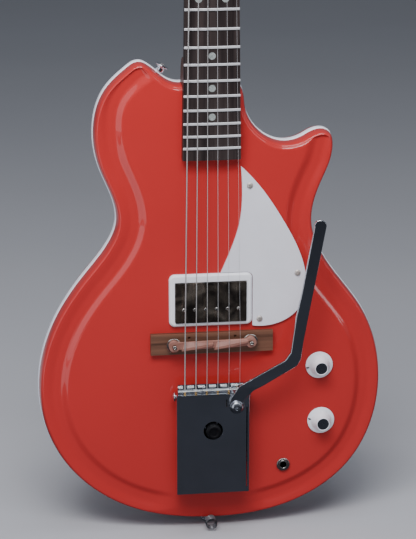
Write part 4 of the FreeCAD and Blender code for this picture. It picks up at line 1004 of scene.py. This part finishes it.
def tension_knob():
    """Ribbed black knob, and a black well behind the plate's window: painted shade in the gap round the
    knob.
    """
    low, high = span("tension_knob")
    x, up, _ = middle("tension_knob")
    radius, bottom, top = (high[0] - low[0]) / 2, low[2], high[2]
    profile = eased([(2.1, bottom), (radius, bottom), (radius, top - 1.4), (radius - 1.4, top),
                     (4.2, top), (3.6, top - 0.5), (0, top - 0.6)], 0.5)
    piece("tension_knob_ribbed", lathe(profile, facing(x, up), 144, knurl(30, 0.2)), "cap_black",
          BODY_OF["tension_knob"], ("tension_knob",))
    plate_top = span("vibrato_plate")[1][2]
    # black lining of the window's gap round the knob: painted shade
    window = 9.15
    well = [(window, plate_top - 0.3), (window, bottom - 4), (7.4, bottom - 4)]
    piece("knob_well_painted_shade", lathe(well, facing(x, up), 72), "cap_black", "vibrato")


vibrato_plate()
refined("vibrato_arm", "chrome", 0.9, 4, clamp=False)
refined("vibrato_base", "nickel", 0.3)
hinge_pin()
anchor_bar()
refined("string_ball_ends", "brass", 0.1)
vibrato_spring()
arm_screw()
tension_knob()


# ---------------------------------------------------------------- controls and jack

def control_knob(name, turned):
    """White stepped skirt, a collar round a metal disc, and a pointer turned from the bass side."""
    node = f"{name}_knob"
    low, high = span(node)
    x, up, _ = middle(node)
    radius, bottom, top = (high[0] - low[0]) / 2, low[2], high[2]
    place, body = facing(x, up), BODY_OF[node]
    profile = [(8.4, bottom + 2), (8.4, bottom), (radius, bottom), (radius, bottom + 0.9)]
    for step in range(5):
        inner = radius - 0.25 - step * 0.62
        height = bottom + 1.2 + step * 0.36
        profile += [(inner, height), (inner - 0.45, height + 0.08)]
    profile += [(9.6, bottom + 3.7), (8.2, bottom + 6.4), (7.1, bottom + 8.6), (6.6, bottom + 10.2),
                (6.5, top - 0.8), (6.35, top - 0.15), (5.9, top - 0.05), (5.6, top - 0.6), (0, top - 1.8)]
    piece(name + "_knob_turned", lathe(eased(profile, 0.3, 3), place), "lit_white_plastic", body, (node,), 50)
    dish = [(5.65, top - 0.5), (5.2, top - 0.55), (1.2, top - 0.62), (0, top - 0.75)]
    piece(name + "_knob_dish", lathe(eased(dish, 0.3), facing(x, up, 0.05)), "dark_chrome", body)
    bar = brick(place @ Matrix.Rotation(math.radians(turned), 4, "Z"), (-radius + 0.3, -radius + 3.0),
                (-0.5, 0.5), (bottom + 1.0, bottom + 2.9))
    bmesh.ops.bevel(bar, geom=bar.edges[:], offset=0.15 * MM, segments=2, affect="EDGES", profile=0.5)
    piece(name + "_pointer", bar, "black_plastic", body)


def output_jack():
    """Barrel through the face with a knurled nut."""
    low, high = span("output_jack")
    x, up, _ = middle("output_jack")
    top, bottom = high[2], low[2]
    place = facing(x, up)
    barrel = [(3.2, bottom), (5.5, bottom), (5.5, -9), (8, -9), (8, -6.5), (4.65, -6.5), (4.65, top - 0.3),
              (4.4, top), (3.5, top), (3.2, top - 0.3), (3.2, bottom)]
    piece("jack_barrel", lathe(barrel, place, 64), "nickel", "body", ("output_jack",))
    nut = eased([(4.7, 0.05), (6.75, 0.05), (6.75, 1.6), (6.2, 2.2), (4.7, 2.25)], 0.3)
    piece("jack_nut", lathe(nut, place, 144, knurl(24, 0.3)), "nickel", "body")


for control, turned_by in (("volume", 9), ("tone", -11.5)):
    control_knob(control, turned_by)
output_jack()


# ---------------------------------------------------------------- tuners

for tuner in range(1, 7):
    refined(f"tuner_post_{tuner}", "nickel", 0.2)
    refined(f"tuner_button_{tuner}", "cream_plastic", 0.7, 3)
refined("tuner_housings", "nickel", 0.5, 3)


# ---------------------------------------------------------------- strings

# Each string's radius, and how far up it crosses the saddle, from the bass side.
STRING_RADII = [0.585, 0.455, 0.33, 0.215, 0.165, 0.125]
BREAK_LINE = [181.5, 183.3, 185.1, 182, 184, 186]
STRING_GAP = 0.06
NUT_REST, HEAD_SEAT, HEAD_OUT, HEAD_TILT = 819.55, 814.75, 5, math.radians(8)
POST_X, POST_FIRST, POST_STEP, POST_WAIST, POST_TOP_TURN = 24, 38, 39, 2.4, 6.2
TURN_PITCH, TURN_STEPS = 2.05, 28
SADDLE_TOP, NUT_TOP, ANCHOR_OUT, ANCHOR_INSET = 15.5, 12.6, 13.7, 0.4
BRIDGE_STEPS, NECK_STEPS = 8, 24


def on_head(x, y, z):
    """Point in the model's frame from headstock coordinates."""
    up = HEAD_SEAT + y * math.cos(HEAD_TILT) + z * math.sin(HEAD_TILT)
    return at(x, up, HEAD_OUT - y * math.sin(HEAD_TILT) + z * math.cos(HEAD_TILT))


def post_turns(index, side, rise):
    """The string's turns round its post, down from where it meets the post to the post's middle."""
    x, y = side * POST_X, POST_FIRST + (index if index < 3 else 5 - index) * POST_STEP
    turns = 1.3 if index < 3 else 2.6
    start = math.pi if side > 0 else 0
    steps = int(turns * TURN_STEPS)
    path = []
    for step in range(steps + 1):
        turned = 2 * math.pi * turns * step / steps
        angle = start - side * turned
        reach = POST_WAIST + rise
        path.append(on_head(x + reach * math.cos(angle), y + reach * math.sin(angle),
                            POST_TOP_TURN - turned / (2 * math.pi) * rise * TURN_PITCH))
    return path + [on_head(x, y, POST_TOP_TURN - turns * rise * TURN_PITCH)]


def string(index):
    """One string from its ball over the saddle and the nut to the turns on its post."""
    radius = STRING_RADII[index]
    rise, place, side = radius + STRING_GAP, (index - 2.5) / 2.5, -1 if index < 3 else 1
    crest = at(BRIDGE_SPREAD * place, BREAK_LINE[index], SADDLE_TOP + rise)
    nut = at(NUT_SPREAD * place, NUT_REST, NUT_TOP + rise)
    anchor = at(BRIDGE_SPREAD * place, span("string_ball_ends")[1][1] - ANCHOR_INSET, ANCHOR_OUT)
    path = [anchor.lerp(crest, step / BRIDGE_STEPS) for step in range(BRIDGE_STEPS + 1)]
    path += [crest.lerp(nut, step / NECK_STEPS) for step in range(1, NECK_STEPS + 1)]
    bm = bmesh.new()
    wire_tube(bm, path + post_turns(index, side, rise), radius, 14)
    look, node = ("wound_wire", "wound_strings") if index < 3 else ("string_wire", "plain_strings")
    made = piece(f"string_{index + 1}", bm, look, None, (node,), weighted=False)
    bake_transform(made)


for string_index in range(6):
    string(string_index)


# ---------------------------------------------------------------- inner parts

INNER = {
    "center_block": "maple",
    "pickup_bobbin": "black_plastic",
    "pickup_coil": "copper_wire",
    "pickup_magnet": "magnet",
    "vibrato_tension_stud": "nickel",
    "potentiometers": "aluminium",
    "control_nuts": "nickel",
    "wiring_harness": "wire_jacket",
    "truss_rod": "spring_steel",
    "volume_shaft": "brass",
    "tone_shaft": "brass",
}
for inner_node, inner_look in INNER.items():
    inner_object = frame["nodes"][inner_node]
    inner_object.data.materials.clear()
    inner_object.data.materials.append(LOOKS[inner_look].material)


# ---------------------------------------------------------------- floor, light and camera

def floor():
    """Pale plain floor at the model's lowest point."""
    bm = bmesh.new()
    bmesh.ops.create_grid(bm, x_segments=1, y_segments=1, size=14)
    mesh = bpy.data.meshes.new("floor")
    bm.to_mesh(mesh)
    bm.free()
    look = Look("floor_paint", (0.52, 0.53, 0.56), 0.8)
    look.mottle(look.noise(1.5, 3), 0.98, 1.02)
    mesh.materials.append(look.material)
    made = bpy.data.objects.new("floor", mesh)
    bpy.context.scene.collection.objects.link(made)
    made.location.z = cad_bounds[0].z - 0.0005


def dark_card():
    """Dark card on the floor before the face, which only the glossy parts mirror."""
    bm = bmesh.new()
    corners = [(-1.2, -4.5), (3.0, -4.5), (3.0, 0.25), (-1.2, 0.25)]
    height = cad_bounds[0].z + 0.0005
    bm.faces.new([bm.verts.new((x, y, height)) for x, y in corners])
    mesh = bpy.data.meshes.new("dark_card")
    bm.to_mesh(mesh)
    bm.free()
    look = Look("card_cloth", (0.013, 0.016, 0.023), 0.9)
    look.mottle(look.noise(6, 3), 0.85, 1.15)
    mesh.materials.append(look.material)
    made = bpy.data.objects.new("dark_card", mesh)
    bpy.context.scene.collection.objects.link(made)
    made.visible_camera = made.visible_diffuse = made.visible_shadow = made.visible_transmission = False


def softbox(name, place, target, width, height, power, colour):
    """Area light that faces a target, out of the camera's sight."""
    lamp = bpy.data.lights.new(name, "AREA")
    lamp.shape, lamp.size, lamp.size_y, lamp.energy, lamp.color = "RECTANGLE", width, height, power, colour
    made = bpy.data.objects.new(name, lamp)
    bpy.context.scene.collection.objects.link(made)
    made.location = place
    made.rotation_mode = "QUATERNION"
    made.rotation_quaternion = (Vector(target) - Vector(place)).to_track_quat("-Z", "Y")
    made.visible_camera = False
    return made


def lighting():
    key = softbox("key", (-0.34, -0.92, 1.42), (0, 0, 1.3), 0.9, 0.9, 20.5, (1.0, 0.98, 0.98))
    key.visible_glossy = False
    softbox("wall", (-1.05, -1.05, 0.75), (0, 0, 0.45), 0.8, 1.5, 3.8, (0.90, 0.92, 1.0))
    softbox("brow", (-0.1, -1.1, 1.75), (0, 0, 0.4), 1.5, 0.4, 18, (0.96, 0.96, 1.0))
    softbox("top", (0.1, -0.30, 2.0), (0, 0, 0.3), 1.2, 0.7, 8, (0.90, 0.93, 1.0))
    edge = softbox("edge", (1.5, -0.9, 0.95), (0, 0, 0.5), 0.2, 1.3, 2.6, (0.92, 0.95, 1.0))
    edge.visible_diffuse = False
    softbox("low", (-0.62, -0.75, 0.01), (-0.62, -0.75, 1.0), 0.7, 0.9, 1.8, (0.92, 0.94, 1.0))
    world = bpy.data.worlds.new("studio")
    bpy.context.scene.world = world
    world.use_nodes = True
    sky = world.node_tree.nodes["Background"]
    sky.inputs["Color"].default_value = (0.72, 0.78, 0.90, 1)
    sky.inputs["Strength"].default_value = 0.18


def camera():
    """View of the whole body, slightly from the bass side and from above."""
    yaw, pitch, distance = math.radians(8.0), math.radians(16.0), 1.7465
    target = Vector((-2.29, FACE, 254.56)) * MM
    forward = Vector((math.sin(yaw) * math.cos(pitch), math.cos(yaw) * math.cos(pitch), -math.sin(pitch)))
    lens = bpy.data.cameras.new("camera")
    lens.lens, lens.sensor_width = 124.17, 36.0
    lens.clip_start, lens.clip_end = 0.05, 60
    made = bpy.data.objects.new("camera", lens)
    bpy.context.scene.collection.objects.link(made)
    made.location = target - forward * distance
    made.rotation_mode = "QUATERNION"
    made.rotation_quaternion = forward.to_track_quat("-Z", "Y")
    bpy.context.scene.camera = made


floor()
dark_card()
lighting()
camera()

bpy.context.view_layer.update()
